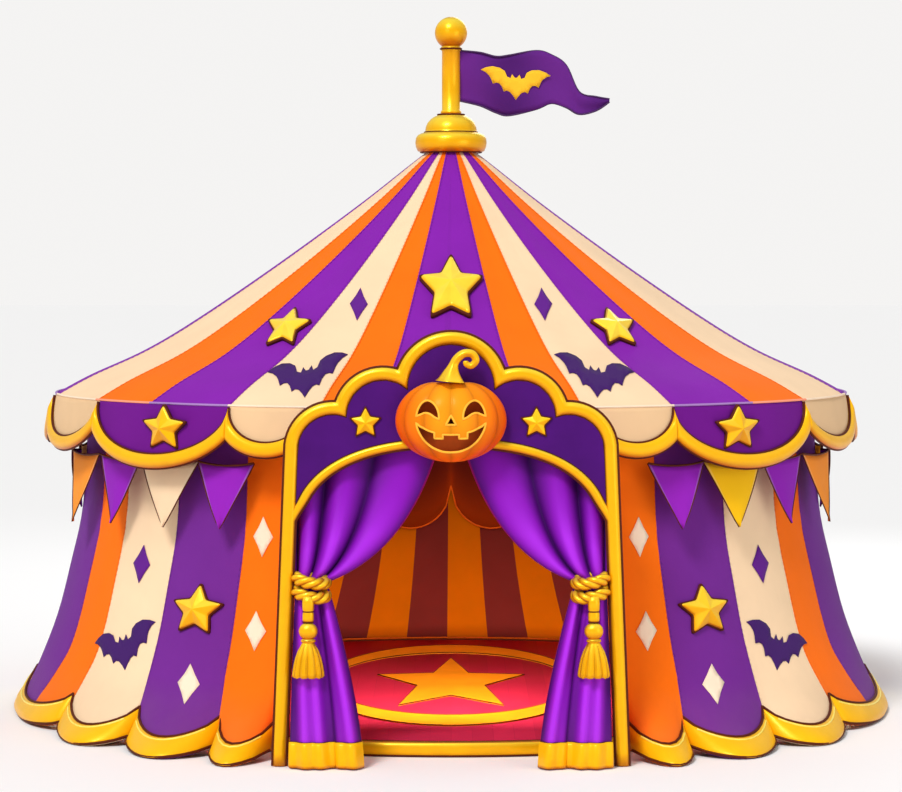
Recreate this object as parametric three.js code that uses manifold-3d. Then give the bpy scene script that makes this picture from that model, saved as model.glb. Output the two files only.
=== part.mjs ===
// A small striped circus big top: a round walk-in tent with an arched portal, curtains, a wooden ring floor,
// a scalloped valance, bunting and a flag. Millimetres, +Z up, origin on the tent's axis at ground level.
// Azimuth is measured from the doorway (-Y) towards +X.
import * as THREE from 'three';
import { mergeVertices } from 'three/addons/utils/BufferGeometryUtils.js';
import Module from 'manifold-3d';

const wasm = await Module();
wasm.setup();

// Driving dimensions
const GAP = 0.3; // air left between touching pieces
const STEP = 7.5; // azimuth of one facet of every round piece, degrees
const CANVAS = 30; // thickness of a canvas panel
const TRIM_CLOTH = 15; // thickness of valance, lining and bunting

const CROWN_R = 200;
const CROWN_Z = 5469;
const HUB_H = 180;
const EAVE_R = 3910;
const EAVE_Z = 3090;
const RING_IN = 3480;
const RING_OUT = 3900;
const RING_BOTTOM = 2990;
const RING_TOP = 3050;
const ROOF_LINE = [[CROWN_R + GAP, CROWN_Z], [300, 5434], [900, 4970], [1700, 4390], [2500, 3845],
  [3040, 3520], [3580, 3270], [EAVE_R, EAVE_Z]];
const ROOF_GORES = 8;

const DOOR_EDGE = 21.7; // azimuth where the wall ends beside the portal
const WALL_LINE = [[3600, RING_BOTTOM - GAP], [3620, 2500], [3660, 1920], [3770, 1420], [3900, 920],
  [4070, 480], [4190, 230], [4290, 50], [4310, 0]];
const WALL_SPLITS = [DOOR_EDGE, 58.4, 90, 137.1, 170];
const HEM_LOBES = [DOOR_EDGE, 29.5, 42.9, 58.4, 90, 121.6, 137.1, 150.5, 158.3, 170, 190];
const HEM_BULGE = { side: 0, front: 330 }; // how far a lobe's foot stands out past its notches
const HEM_NOTCH = 75; // height of the notch between two lobes above the ground
const HEM_PUSH = { out: 280, full: 55, none: 75 }; // how far the front lobes' feet are drawn straight forward
const HEM_HEIGHT = 280;
const HEM_DIP = 115; // how much lower the hem is at the middle of a lobe
const HEM_ROLL = 22; // extra thickness of the hem

const VALANCE_R = EAVE_R + GAP;
const VALANCE_FLARE = 70;
const VALANCE_TOP = EAVE_Z;
const VALANCE_NOTCH = 2750;
const VALANCE_START = 20.8; // the valance ends where the porch hood passes
const SCALLOPS = [[17, 30.3, 2640], [30.3, 56.6, 2500], [56.6, 80, 2590], [80, 100, 2590], [100, 123.4, 2590],
  [123.4, 149.7, 2500], [149.7, 163, 2640], [163, 197, 2500]];

const BUNTING_R = 3800;
const BUNTING_TOP = 2590;
const BUNTING_TAPE = 2550;
const BUNTING_TIP = 1980;
const BUNTING_LEAN = 90; // how far a tip beside the doorway stands out past the tape
const BUNTING_TUCK = 125; // how much nearer to the wall the pennants hang at the sides and the back
const BUNTING_FRONT = [27.6, 37, 48.7, 60.3, 74.5]; // azimuths between the pennants beside the doorway
const BUNTING_PITCH = 11.72;
const BUNTING_COUNT = 13;

const PORTAL_Y = -4340; // centre plane of the portal front
const POST_SIZE = [122, 100];
const POST_FOOT_X = 1493;
const POST_TOP_X = 1389;
const POST_TOP_Z = 2708;
// x, z and radius of the lobes of the cloud-shaped head
const LOBES = [[0, 3288, 433], [588, 3037, 376], [1021, 2752, 363]];
const TRIM_W = 120;
const TRIM_D = 120;
const BOARD_D = 80;
const ARCH = { half: 1335, spring: 1970, rise: 830, power: 2.4 };
const HOOD_T = 25;
const HOOD_BACK = -2300; // the hood is cut from a length that ends inside the roof

const FLOOR_R = 3920;
const FLOOR_Y = 120; // the deck sits a little back from the tent's axis
const FLOOR_TOP = 120;
const RIM_T = 60;
const INLAY_T = 12;
const RING_INLAY = { y: 310, half: 1350, reach: 3110, width: 120, depth: 690 };
const STAR_INLAY = [[0, 2250], [185, 980], [755, 860], [340, 0], [506, -1447], [0, -740]];

const LINING_GAP = 60;
const PELMET = { first: 121.6, pitch: 14.6, count: 8, r: 3484, notch: 1900, bottom: 1430 };

const GOLD = { color: 0xf5aa0a, roughness: 0.3, metalness: 0.6 };
const PURPLE = { color: 0x6b2a8f, roughness: 0.8, metalness: 0 };
const ROOF_PURPLE = { color: 0x8a1eb0, roughness: 0.8, metalness: 0 };
const ORANGE = { color: 0xff760f, roughness: 0.8, metalness: 0 };
const CREAM = { color: 0xfce2be, roughness: 0.85, metalness: 0 };
const CURTAIN = { color: 0xa020d0, roughness: 0.6, metalness: 0 };
const BOARD = { color: 0x521278, roughness: 0.6, metalness: 0 };
const CRIMSON = { color: 0xd8304c, roughness: 0.5, metalness: 0 };
const MAROON = { color: 0x7a281e, roughness: 0.8, metalness: 0 };
const PUMPKIN = { color: 0xf98a1e, roughness: 0.4, metalness: 0 };

const tent = new THREE.Group();

function addPiece(name, geometry, look) {
  const piece = new THREE.Mesh(geometry, new THREE.MeshStandardMaterial(look));
  piece.name = name;
  tent.add(piece);
  return piece;
}

const rad = (degrees) => THREE.MathUtils.degToRad(degrees);

// A point at an azimuth on a regular polygon of the given corner radius, so that neighbours share facets.
function around(azimuth, radius, height) {
  const middle = (Math.floor(azimuth / STEP) + 0.5) * STEP;
  const chord = (radius * Math.cos(rad(STEP / 2))) / Math.cos(rad(azimuth - middle));
  return new THREE.Vector3(chord * Math.sin(rad(azimuth)), -chord * Math.cos(rad(azimuth)), height);
}

// Azimuths from start to end, with every facet corner between them and any extra ones.
function azimuths(start, end, extra = []) {
  const stops = [start, end, ...extra.filter((a) => a > start && a < end)];
  for (let a = Math.ceil(start / STEP) * STEP; a < end; a += STEP) {
    if (a > start) stops.push(a);
  }
  return [...new Set(stops)].sort((a, b) => a - b);
}

// Height-to-radius lookup along a line of [radius, height] points, straight between them.
function radiusAt(line, height) {
  for (let i = 1; i < line.length; i++) {
    const [r0, z0] = line[i - 1];
    const [r1, z1] = line[i];
    if (height <= z0 && height >= z1) return r0 + ((r1 - r0) * (z0 - height)) / (z0 - z1);
  }
  return height > line[0][1] ? line[0][0] : line[line.length - 1][0];
}

// The index turned so that the faces point outwards.
function facingOut(points, index) {
  let volume = 0;
  for (let i = 0; i < index.length; i += 3) {
    volume += points[index[i]].dot(points[index[i + 1]].clone().cross(points[index[i + 2]]));
  }
  return volume > 0 ? index : index.slice().reverse();
}

function geometryOf(points, index) {
  const flat = points.flatMap((p) => [p.x, p.y, p.z]);
  const geometry = new THREE.BufferGeometry();
  geometry.setAttribute('position', new THREE.Float32BufferAttribute(flat, 3));
  geometry.setIndex(facingOut(points, index));
  geometry.computeVertexNormals();
  return geometry;
}

// A closed panel between an outer and an inner grid of points, [column][row]; a ring closes on itself.
function panel(outer, inner, ring = false) {
  const columns = outer.length;
  const rows = outer[0].length;
  const points = [...outer.flat(), ...inner.flat()];
  const at = (side, i, j) => side * columns * rows + (i % columns) * rows + j;
  const index = [];
  const quad = (a, b, c, d) => index.push(a, b, c, a, c, d);
  const last = ring ? columns : columns - 1;
  for (let i = 0; i < last; i++) {
    for (let j = 0; j < rows - 1; j++) {
      quad(at(0, i, j), at(0, i + 1, j), at(0, i + 1, j + 1), at(0, i, j + 1));
      quad(at(1, i, j), at(1, i, j + 1), at(1, i + 1, j + 1), at(1, i + 1, j));
    }
    quad(at(0, i, 0), at(1, i, 0), at(1, i + 1, 0), at(0, i + 1, 0));
    quad(at(0, i, rows - 1), at(0, i + 1, rows - 1), at(1, i + 1, rows - 1), at(1, i, rows - 1));
  }
  if (!ring) {
    for (let j = 0; j < rows - 1; j++) {
      quad(at(0, 0, j), at(0, 0, j + 1), at(1, 0, j + 1), at(1, 0, j));
      quad(at(0, last, j), at(1, last, j), at(1, last, j + 1), at(0, last, j + 1));
    }
  }
  return geometryOf(points, index);
}

// A closed body through rings of points with a fan at each end.
function loft(sections) {
  const sides = sections[0].length;
  const points = sections.flat();
  const index = [];
  for (let s = 0; s < sections.length - 1; s++) {
    for (let i = 0; i < sides; i++) {
      const a = s * sides + i;
      const b = s * sides + ((i + 1) % sides);
      index.push(a, b, b + sides, a, b + sides, a + sides);
    }
  }
  for (const [first, turned] of [[0, true], [(sections.length - 1) * sides, false]]) {
    for (let i = 1; i < sides - 1; i++) {
      index.push(first, first + (turned ? i + 1 : i), first + (turned ? i : i + 1));
    }
  }
  return geometryOf(points, index);
}

// An outline in the X-Z plane, extruded from the front y to the back y.
function frontPlate(shape, front, back, curveSegments = 8) {
  const depth = back - front;
  const geometry = new THREE.ExtrudeGeometry(shape, { depth, bevelEnabled: false, curveSegments });
  return geometry.rotateX(Math.PI / 2).translate(0, back, 0);
}

function mirrored(geometry) {
  const copy = geometry.index ? geometry.toNonIndexed() : geometry.clone();
  copy.deleteAttribute('normal');
  copy.deleteAttribute('uv');
  copy.scale(-1, 1, 1);
  const merged = mergeVertices(copy, 1e-3);
  merged.setIndex([...merged.index.array].reverse());
  return merged;
}

function solid(geometry) {
  const bare = geometry.clone();
  bare.deleteAttribute('normal');
  bare.deleteAttribute('uv');
  const merged = mergeVertices(bare, 1e-3);
  return new wasm.Manifold(new wasm.Mesh({
    numProp: 3,
    vertProperties: merged.attributes.position.array,
    triVerts: new Uint32Array(merged.index.array),
  }));
}

function fromSolid(body) {
  const mesh = body.getMesh();
  const geometry = new THREE.BufferGeometry();
  geometry.setAttribute('position', new THREE.BufferAttribute(mesh.vertProperties, 3));
  geometry.setIndex(new THREE.BufferAttribute(mesh.triVerts, 1));
  geometry.computeVertexNormals();
  return geometry;
}

function lathe(line, segments) {
  const geometry = new THREE.LatheGeometry(line.map(([r, z]) => new THREE.Vector2(r, z)), segments);
  return geometry.rotateX(Math.PI / 2);
}

// Roof: canvas gores from the crown hub to the eave
const roofRows = (azimuth, drop) => ROOF_LINE.map(([r, z]) => around(azimuth, r, z - drop));
for (let i = 0; i < ROOF_GORES; i++) {
  const span = 360 / ROOF_GORES;
  const sliver = 0.004;
  const stops = azimuths(i * span - span / 2 + sliver, i * span + span / 2 - sliver);
  const gore = panel(stops.map((a) => roofRows(a, 0)), stops.map((a) => roofRows(a, CANVAS)));
  addPiece(`roof_gore_${i + 1}`, gore, i % 2 ? ORANGE : ROOF_PURPLE);
}

const ringAzimuths = Array.from({ length: 360 / STEP }, (_, i) => i * STEP);
const bandRing = (outer, inner, low, high) => panel(
  ringAzimuths.map((a) => [around(a, outer, low), around(a, outer, high)]),
  ringAzimuths.map((a) => [around(a, inner, low), around(a, inner, high)]),
  true,
);
addPiece('eave_ring', bandRing(RING_OUT, RING_IN, RING_BOTTOM, RING_TOP), GOLD);

// Crown: the hub that the gores are laced to, the gold cap over it, the pole and its ball
addPiece('crown_hub', new THREE.CylinderGeometry(CROWN_R, CROWN_R, HUB_H, 360 / STEP).rotateX(Math.PI / 2)
  .translate(0, 0, CROWN_Z - HUB_H / 2), GOLD);
const CAP_TOP = 5858;
const CAP_LINE = [[0, CROWN_Z + GAP], [300, CROWN_Z + GAP], [340, 5500], [355, 5568], [335, 5640],
  [270, 5668], [245, 5690], [225, 5760], [170, 5826], [125, CAP_TOP], [0, CAP_TOP]];
addPiece('crown_cap', lathe(CAP_LINE, 24), GOLD);
const POLE_R = 90;
const POLE_LOW = CAP_TOP + GAP;
const POLE_HIGH = 6498;
const pole = new THREE.CylinderGeometry(POLE_R, POLE_R, POLE_HIGH - POLE_LOW, 20).rotateX(Math.PI / 2);
addPiece('flag_pole', pole.translate(0, 0, (POLE_HIGH + POLE_LOW) / 2), GOLD);
const BALL_Z = 6660;
const BALL_R = 160;
const ballLine = [[0, POLE_HIGH + GAP], [105, POLE_HIGH + GAP], [112, POLE_HIGH + 16]];
for (let i = 3; i <= 12; i += 1.5) {
  const turn = rad(-90 + i * 15);
  ballLine.push([i === 12 ? 0 : BALL_R * Math.cos(turn), BALL_Z + BALL_R * Math.sin(turn)]);
}
addPiece('pole_ball', lathe(ballLine, 16), GOLD);

// Flag: a waving pennant from the pole; each station has x, top z and bottom z
const FLAG = [[POLE_R + GAP, 6485, 5985], [290, 6470, 5940], [450, 6430, 5870], [580, 6440, 5840],
  [850, 6480, 5900], [1000, 6440, 5960], [1150, 6340, 5920], [1280, 6080, 5855], [1450, 6030, 5890],
  [1580, 6005, 5975]];
const FLAG_T = 10;
const FLAG_WAVE = 60;
const flagSide = (side) => FLAG.map(([x, top, bottom], i) => {
  const y = side * FLAG_T + FLAG_WAVE * Math.sin((i * Math.PI) / 3.5);
  return [bottom, (top + bottom) / 2, top].map((z) => new THREE.Vector3(x, y, z));
});
addPiece('flag', panel(flagSide(-1), flagSide(1)), BOARD);

// Wall: flared canvas panels whose foot swells into lobes with a rolled hem
const hemBulge = (azimuth) => HEM_BULGE.side + HEM_BULGE.front * Math.cos(rad(azimuth)) ** 2;
const hemPush = (azimuth) => {
  const share = (HEM_PUSH.none - azimuth) / (HEM_PUSH.none - HEM_PUSH.full);
  return HEM_PUSH.out * Math.min(1, Math.max(0, share));
};
const BULGE_TOP = 700; // height where the wall's swelling starts
function lobeAt(azimuth) {
  const backLobe = HEM_LOBES[HEM_LOBES.length - 1];
  const a = azimuth > backLobe ? 360 - azimuth : azimuth;
  const i = Math.min(HEM_LOBES.findIndex((edge) => edge >= a - 1e-6) || 1, HEM_LOBES.length - 1);
  const t = (a - HEM_LOBES[i - 1]) / (HEM_LOBES[i] - HEM_LOBES[i - 1]);
  return Math.sqrt(Math.max(0, Math.sin(Math.PI * Math.min(1, Math.max(0, t)))));
}
const WALL_ROWS = [0, 0.12, 0.3, 0.6, 1];
function wallRows(azimuth, inside) {
  const lobe = lobeAt(azimuth);
  const foot = HEM_NOTCH * (1 - lobe);
  const hemTop = foot + HEM_HEIGHT - HEM_DIP * lobe;
  const bulge = hemBulge(azimuth) * lobe;
  const push = hemPush(azimuth) * lobe ** 2;
  const fall = (z) => Math.max(0, 1 - z / BULGE_TOP) ** 1.5;
  const point = (z, roll) => {
    const place = around(azimuth, radiusAt(WALL_LINE, z) + bulge * fall(z) - inside * CANVAS + roll, z);
    place.y -= push * fall(z);
    return place;
  };
  const roll = (1 - 2 * inside) * HEM_ROLL;
  const rows = [foot, (foot + hemTop) / 2].map((z) => point(z, roll));
  const top = RING_BOTTOM - GAP;
  for (const t of WALL_ROWS) {
    const z = hemTop + (top - hemTop) * t;
    rows.push(point(z, 0));
  }
  return rows;
}
function wallPanel(start, end) {
  const sliver = 0.003;
  const mids = HEM_LOBES.slice(1).map((edge, i) => [HEM_LOBES[i] + 0.15 * (edge - HEM_LOBES[i]),
    HEM_LOBES[i] + 0.85 * (edge - HEM_LOBES[i])]).flat();
  const stops = azimuths(start + sliver, end - sliver, [...HEM_LOBES, ...mids]);
  return panel(stops.map((a) => wallRows(a, 0)), stops.map((a) => wallRows(a, 1)));
}
const WALL_LOOKS = [ORANGE, PURPLE, ORANGE, PURPLE];
for (let i = 0; i < WALL_SPLITS.length - 1; i++) {
  const wall = wallPanel(WALL_SPLITS[i], WALL_SPLITS[i + 1]);
  addPiece(`wall_right_${i + 1}`, wall, WALL_LOOKS[i]);
  addPiece(`wall_left_${i + 1}`, mirrored(wall), WALL_LOOKS[i]);
}
const WALL_END = WALL_SPLITS[WALL_SPLITS.length - 1];
addPiece('wall_back', wallPanel(WALL_END, 360 - WALL_END), PURPLE);

// Valance: scalloped cloth hung round the eave
function valance(first, last, start) {
  const columns = [];
  for (const [from, to, bottom] of SCALLOPS.slice(first, last)) {
    for (const a of azimuths(from, to, [from + (to - from) * 0.06, to - (to - from) * 0.06])) {
      if (a < start || (columns.length && Math.abs(columns[columns.length - 1][0] - a) < 1e-6)) continue;
      const t = (2 * (a - from)) / (to - from) - 1;
      columns.push([a, VALANCE_NOTCH - (VALANCE_NOTCH - bottom) * Math.sqrt(Math.max(0, 1 - t * t))]);
    }
  }
  columns[0][0] += 0.002;
  columns[columns.length - 1][0] -= 0.002;
  const side = (thick) => columns.map(([a, low]) => [0, 0.45, 1].map((u) => {
    const z = VALANCE_TOP + (low - VALANCE_TOP) * u;
    return around(a, VALANCE_R + thick + VALANCE_FLARE * Math.sin((u * Math.PI) / 2) * 0.9, z);
  }));
  return panel(side(TRIM_CLOTH), side(0));
}
const frontValance = valance(0, 3, VALANCE_START);
const sideValance = valance(3, 7, 0);
addPiece('valance_right_front', frontValance, CREAM);
addPiece('valance_left_front', mirrored(frontValance), CREAM);
addPiece('valance_right_back', sideValance, CREAM);
addPiece('valance_left_back', mirrored(sideValance), CREAM);
addPiece('valance_back', valance(7, 8, 0), PURPLE);

// Bunting: a tape of pennants hung by short ties from the eave ring
const buntingColumns = [];
const buntingEnd = (i) => {
  const last = BUNTING_FRONT.length - 1;
  return BUNTING_FRONT[Math.min(i, last)] + Math.max(0, i - last) * BUNTING_PITCH;
};
for (let i = 0; i < BUNTING_COUNT; i++) {
  const [from, to] = [buntingEnd(i), buntingEnd(i + 1)];
  const middle = (from + to) / 2;
  const half = (to - from) * 0.47;
  if (i === 0) buntingColumns.push([from, RING_BOTTOM - GAP, BUNTING_TAPE]);
  buntingColumns.push([middle - half, BUNTING_TOP, BUNTING_TAPE]);
  buntingColumns.push([middle, BUNTING_TOP - 15, BUNTING_TIP]);
  buntingColumns.push([middle + half, BUNTING_TOP, BUNTING_TAPE]);
  if (i < BUNTING_COUNT - 1) buntingColumns.push([to, RING_BOTTOM - GAP, BUNTING_TAPE]);
}
const buntingTuck = (azimuth) => {
  const frontEnd = BUNTING_FRONT[BUNTING_FRONT.length - 1];
  return Math.min(1, Math.max(0, (azimuth - frontEnd) / (BUNTING_PITCH / 2)));
};
const buntingRadius = (azimuth, z) => {
  const drop = Math.max(0, (BUNTING_TAPE - z) / (BUNTING_TAPE - BUNTING_TIP));
  return BUNTING_R + BUNTING_LEAN * drop * (1 - buntingTuck(azimuth)) - BUNTING_TUCK * buntingTuck(azimuth);
};
const buntingSide = (thick) => buntingColumns.map(([a, top, low]) => [low, top].map((z) => around(
  a, buntingRadius(a, z) + thick, z)));
const bunting = panel(buntingSide(TRIM_CLOTH), buntingSide(0));
addPiece('bunting_right', bunting, CREAM);
addPiece('bunting_left', mirrored(bunting), CREAM);

// Floor: round timber deck with a gold rim, an oval ring and a star laid on it
const deck = new THREE.CylinderGeometry(FLOOR_R, FLOOR_R, FLOOR_TOP, 360 / STEP).rotateX(Math.PI / 2);
addPiece('floor_deck', deck.translate(0, FLOOR_Y, FLOOR_TOP / 2), CRIMSON);
const rim = bandRing(FLOOR_R + GAP + RIM_T, FLOOR_R + GAP, 0, FLOOR_TOP);
addPiece('floor_rim', rim.translate(0, FLOOR_Y, 0), GOLD);
const INLAY_LOW = FLOOR_TOP + GAP;
const ovalStops = Array.from({ length: 48 }, (_, i) => rad(i * 7.5));
const oval = (half, reach, z) => ovalStops.map((t) => new THREE.Vector3(
  half * Math.sin(t), RING_INLAY.y - reach * Math.cos(t), z));
const ringSide = (half, reach) => {
  const low = oval(half, reach, INLAY_LOW);
  const high = oval(half, reach, INLAY_LOW + INLAY_T);
  return low.map((p, i) => [p, high[i]]);
};
addPiece('floor_ring', panel(ringSide(RING_INLAY.half, RING_INLAY.reach),
  ringSide(RING_INLAY.half - RING_INLAY.width, RING_INLAY.reach - RING_INLAY.depth), true), GOLD);
const starLeft = STAR_INLAY.slice(1, -1).reverse().map(([x, y]) => [-x, y]);
const starOutline = new THREE.Shape([...STAR_INLAY, ...starLeft].map(([x, y]) => new THREE.Vector2(x, y)));
addPiece('floor_star', new THREE.ExtrudeGeometry(starOutline, { depth: INLAY_T, bevelEnabled: false })
  .translate(0, 0, INLAY_LOW), GOLD);

// Lining and pelmet: striped cloth inside the wall, hung from the eave ring
const LINING_ROWS = [40, 480, 920, 1420, 1920, RING_BOTTOM - GAP];
const liningSide = (thick) => azimuths(24, 336).map((a) => LINING_ROWS.map(
  (z) => around(a, radiusAt(WALL_LINE, z) - CANVAS - LINING_GAP + thick, z)));
addPiece('lining', panel(liningSide(TRIM_CLOTH), liningSide(0)), MAROON);
const pelmetColumns = [];
for (let i = 0; i <= PELMET.count * 8; i++) {
  const t = (i % 8) / 4 - 1;
  const low = PELMET.notch - (PELMET.notch - PELMET.bottom) * Math.sqrt(Math.max(0, 1 - t * t));
  pelmetColumns.push([PELMET.first + (i / 8) * PELMET.pitch, low]);
}
const pelmetSide = (thick) => pelmetColumns.map(([a, low]) => [low, RING_BOTTOM - GAP].map((z) => {
  const r = PELMET.r + thick;
  return new THREE.Vector3(r * Math.sin(rad(a)), -r * Math.cos(rad(a)), z);
}));
addPiece('inner_pelmet', panel(pelmetSide(TRIM_CLOTH), pelmetSide(0)), ORANGE);

// Portal: two posts, the purple head board, its gold trims and the hood behind it
const FRONT = PORTAL_Y - POST_SIZE[1] / 2;
const BACK = PORTAL_Y + POST_SIZE[1] / 2;
const rectangle = (x, z, width, depth) => [[-1, -1], [1, -1], [1, 1], [-1, 1]].map(
  ([u, v]) => new THREE.Vector3(x + (u * width) / 2, PORTAL_Y + (v * depth) / 2, z));
const postBody = (more) => loft([rectangle(POST_FOOT_X, 0, POST_SIZE[0] + more, POST_SIZE[1] + 4 * more),
  rectangle(POST_TOP_X, POST_TOP_Z, POST_SIZE[0] + more, POST_SIZE[1] + 4 * more)]);
addPiece('post_right', postBody(0), GOLD);
addPiece('post_left', mirrored(postBody(0)), GOLD);

// Where two neighbouring lobes of the head meet, for a given offset from their centre lines
function cusp([x0, z0, r0], [x1, z1, r1], offset) {
  const [a, b] = [r0 + offset, r1 + offset];
  const d = Math.hypot(x1 - x0, z1 - z0);
  const along = (d * d + a * a - b * b) / (2 * d);
  const up = Math.sqrt(a * a - along * along);
  return [x0 + ((x1 - x0) * along + (z0 - z1) * up) / d, z0 + ((z1 - z0) * along + (x1 - x0) * up) / d];
}
const LOBE_STEPS = 7;
// Right half of the head's outline from the post to the apex, at an offset from the trim's centre line
function headCurve(offset) {
  const points = [];
  const outerFirst = [...LOBES].reverse();
  let start = [LOBES[2][0] + LOBES[2][2] + offset, POST_TOP_Z + GAP];
  points.push(start);
  outerFirst.forEach((lobe, i) => {
    const next = outerFirst[i + 1];
    const end = next ? cusp(next, lobe, offset) : [0, lobe[1] + lobe[2] + offset];
    const from = i === 0 ? 0 : Math.atan2(start[1] - lobe[1], start[0] - lobe[0]);
    const to = Math.atan2(end[1] - lobe[1], end[0] - lobe[0]);
    for (let k = 1; k <= LOBE_STEPS; k++) {
      const turn = from + ((to - from) * k) / LOBE_STEPS;
      const r = lobe[2] + offset;
      points.push(k === LOBE_STEPS ? end : [lobe[0] + r * Math.cos(turn), lobe[1] + r * Math.sin(turn)]);
    }
    start = end;
  });
  return points;
}
const bothSides = (half) => [...half, ...half.slice(0, -1).reverse().map(([x, z]) => [-x, z])];
function archCurve(offset, steps = 14) {
  const points = [];
  for (let i = 0; i <= steps; i++) {
    const t = ((i / steps) * Math.PI) / 2;
    const x = (ARCH.half + offset) * Math.cos(t) ** (2 / ARCH.power);
    points.push([i === steps ? 0 : x, ARCH.spring + (ARCH.rise + offset) * Math.sin(t) ** (2 / ARCH.power)]);
  }
  return points;
}
const outlineOf = (points) => new THREE.Shape(points.map(([x, z]) => new THREE.Vector2(x, z)));
const bandOf = (outer, inner) => outlineOf([...bothSides(outer), ...bothSides(inner).reverse()]);
const half = TRIM_W / 2;
const headTrim = frontPlate(bandOf(headCurve(half), headCurve(-half)),
  PORTAL_Y - TRIM_D / 2, PORTAL_Y + TRIM_D / 2);
const archTrim = solid(frontPlate(bandOf(archCurve(half), archCurve(-half)),
  PORTAL_Y - TRIM_D / 2, PORTAL_Y + TRIM_D / 2));
const postTool = postBody(20 * GAP);
const cutPosts = (body) => body.subtract(solid(postTool)).subtract(solid(mirrored(postTool)));
const largestOf = (body) => body.decompose().sort((a, b) => b.volume() - a.volume())[0];
addPiece('head_trim', headTrim, GOLD);
addPiece('arch_trim', fromSolid(largestOf(cutPosts(archTrim))), GOLD);
const boardCorners = [[POST_TOP_X + 20, ARCH.spring], [POST_TOP_X + 20, POST_TOP_Z - 5]];
const boardFace = outlineOf([...bothSides([...boardCorners, ...headCurve(-half - GAP)]),
  ...bothSides(archCurve(half + GAP)).reverse()]);
const board = cutPosts(solid(frontPlate(boardFace, PORTAL_Y - BOARD_D / 2, PORTAL_Y + BOARD_D / 2)));
addPiece('head_board', fromSolid(largestOf(board)), BOARD);

// Hood: canvas over the porch, from the head back to the roof
const hoodFace = bandOf(headCurve(-half + HOOD_T), headCurve(-half));
const hoodLong = solid(frontPlate(hoodFace, PORTAL_Y + TRIM_D / 2 + GAP, HOOD_BACK));
const CLEAR = 1;
const tentLine = [[0, 0], [VALANCE_R + CLEAR, 0], [VALANCE_R + CLEAR, EAVE_Z + 6],
  ...[...ROOF_LINE].reverse().slice(1).map(([r, z]) => [r, z + CLEAR]), [0, CROWN_Z + CLEAR]];
const hood = hoodLong.subtract(solid(lathe(tentLine, 360 / STEP)));
addPiece('porch_hood', fromSolid(largestOf(hood)), PURPLE);

// Returns: canvas from each post back to the end of the wall
const returnTop = POST_TOP_Z;
function returnPanel() {
  const levels = wallRows(DOOR_EDGE, 0).map((p) => Math.min(p.z, returnTop));
  const levelSet = [...new Set(levels)];
  const wallEnd = (z, inside) => {
    const rows = wallRows(DOOR_EDGE, inside);
    for (let i = 1; i < rows.length; i++) {
      if (z <= rows[i].z + 1e-6) {
        const share = (z - rows[i - 1].z) / (rows[i].z - rows[i - 1].z);
        return rows[i - 1].clone().lerp(rows[i], Math.max(0, share));
      }
    }
    return rows[rows.length - 1];
  };
  const away = (p) => {
    const turn = rad(-0.006);
    const [c, d] = [Math.cos(turn), Math.sin(turn)];
    return new THREE.Vector3(p.x * c - p.y * d, p.x * d + p.y * c, p.z);
  };
  const postX = (z) => POST_FOOT_X + ((POST_TOP_X - POST_FOOT_X) * z) / POST_TOP_Z;
  const side = (inside) => [
    levelSet.map((z) => away(wallEnd(z, inside))),
    levelSet.map((z) => new THREE.Vector3(postX(z) + 30 - inside * CANVAS, BACK + GAP, z)),
  ];
  return panel(side(0), side(1));
}
const returned = returnPanel();
addPiece('return_right', returned, ORANGE);
addPiece('return_left', mirrored(returned), ORANGE);

// Curtains: each a gathered length of cloth from the arch to its tie-back and down to the ground;
// sections hold the height, the outer and inner x, and the front and back y
const HANG_Y = PORTAL_Y + TRIM_D / 2 + GAP; // the curtains hang against the back of the arch trim
const CURTAIN_LINE = [[0, 1398, 746, -4590, -4400], [250, 1385, 770, -4540, -4370],
  [800, 1345, 880, -4405, -4260], [1300, 1300, 1000, -4410, -4270], [1550, 1280, 1065, -4430, -4275],
  [1700, 1280, 900, -4390, -4230], [1960, 1250, 490, HANG_Y, -4160], [2320, 1270, 310, HANG_Y, -4170],
  [2700, 1260, 130, HANG_Y, -4180]];
const CURTAIN_SIDES = 16;
const oblong = ([z, x0, x1, y0, y1], grown = 0) => Array.from({ length: CURTAIN_SIDES }, (_, i) => {
  const t = (i / CURTAIN_SIDES) * 2 * Math.PI;
  const round = (v) => Math.sign(v) * Math.abs(v) ** 0.7;
  return new THREE.Vector3((x0 + x1) / 2 + (Math.abs(x1 - x0) / 2 + grown) * round(Math.cos(t)),
    (y0 + y1) / 2 + (Math.abs(y1 - y0) / 2 + grown) * round(Math.sin(t)), z);
});
const TIE_HEIGHTS = [1480, 1550, 1620];
function curtainAt(z) {
  const i = Math.max(1, CURTAIN_LINE.findIndex((section) => section[0] >= z));
  const [low, high] = [CURTAIN_LINE[i - 1], CURTAIN_LINE[i]];
  const t = (z - low[0]) / (high[0] - low[0]);
  return low.map((value, k) => value + (high[k] - value) * t);
}
const curtainHeights = [...new Set([...CURTAIN_LINE.map(([z]) => z), ...TIE_HEIGHTS])].sort((a, b) => a - b);
const curtain = loft(curtainHeights.map((z) => oblong(curtainAt(z))));
addPiece('curtain_right', curtain, CURTAIN);
addPiece('curtain_left', mirrored(curtain), CURTAIN);

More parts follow.
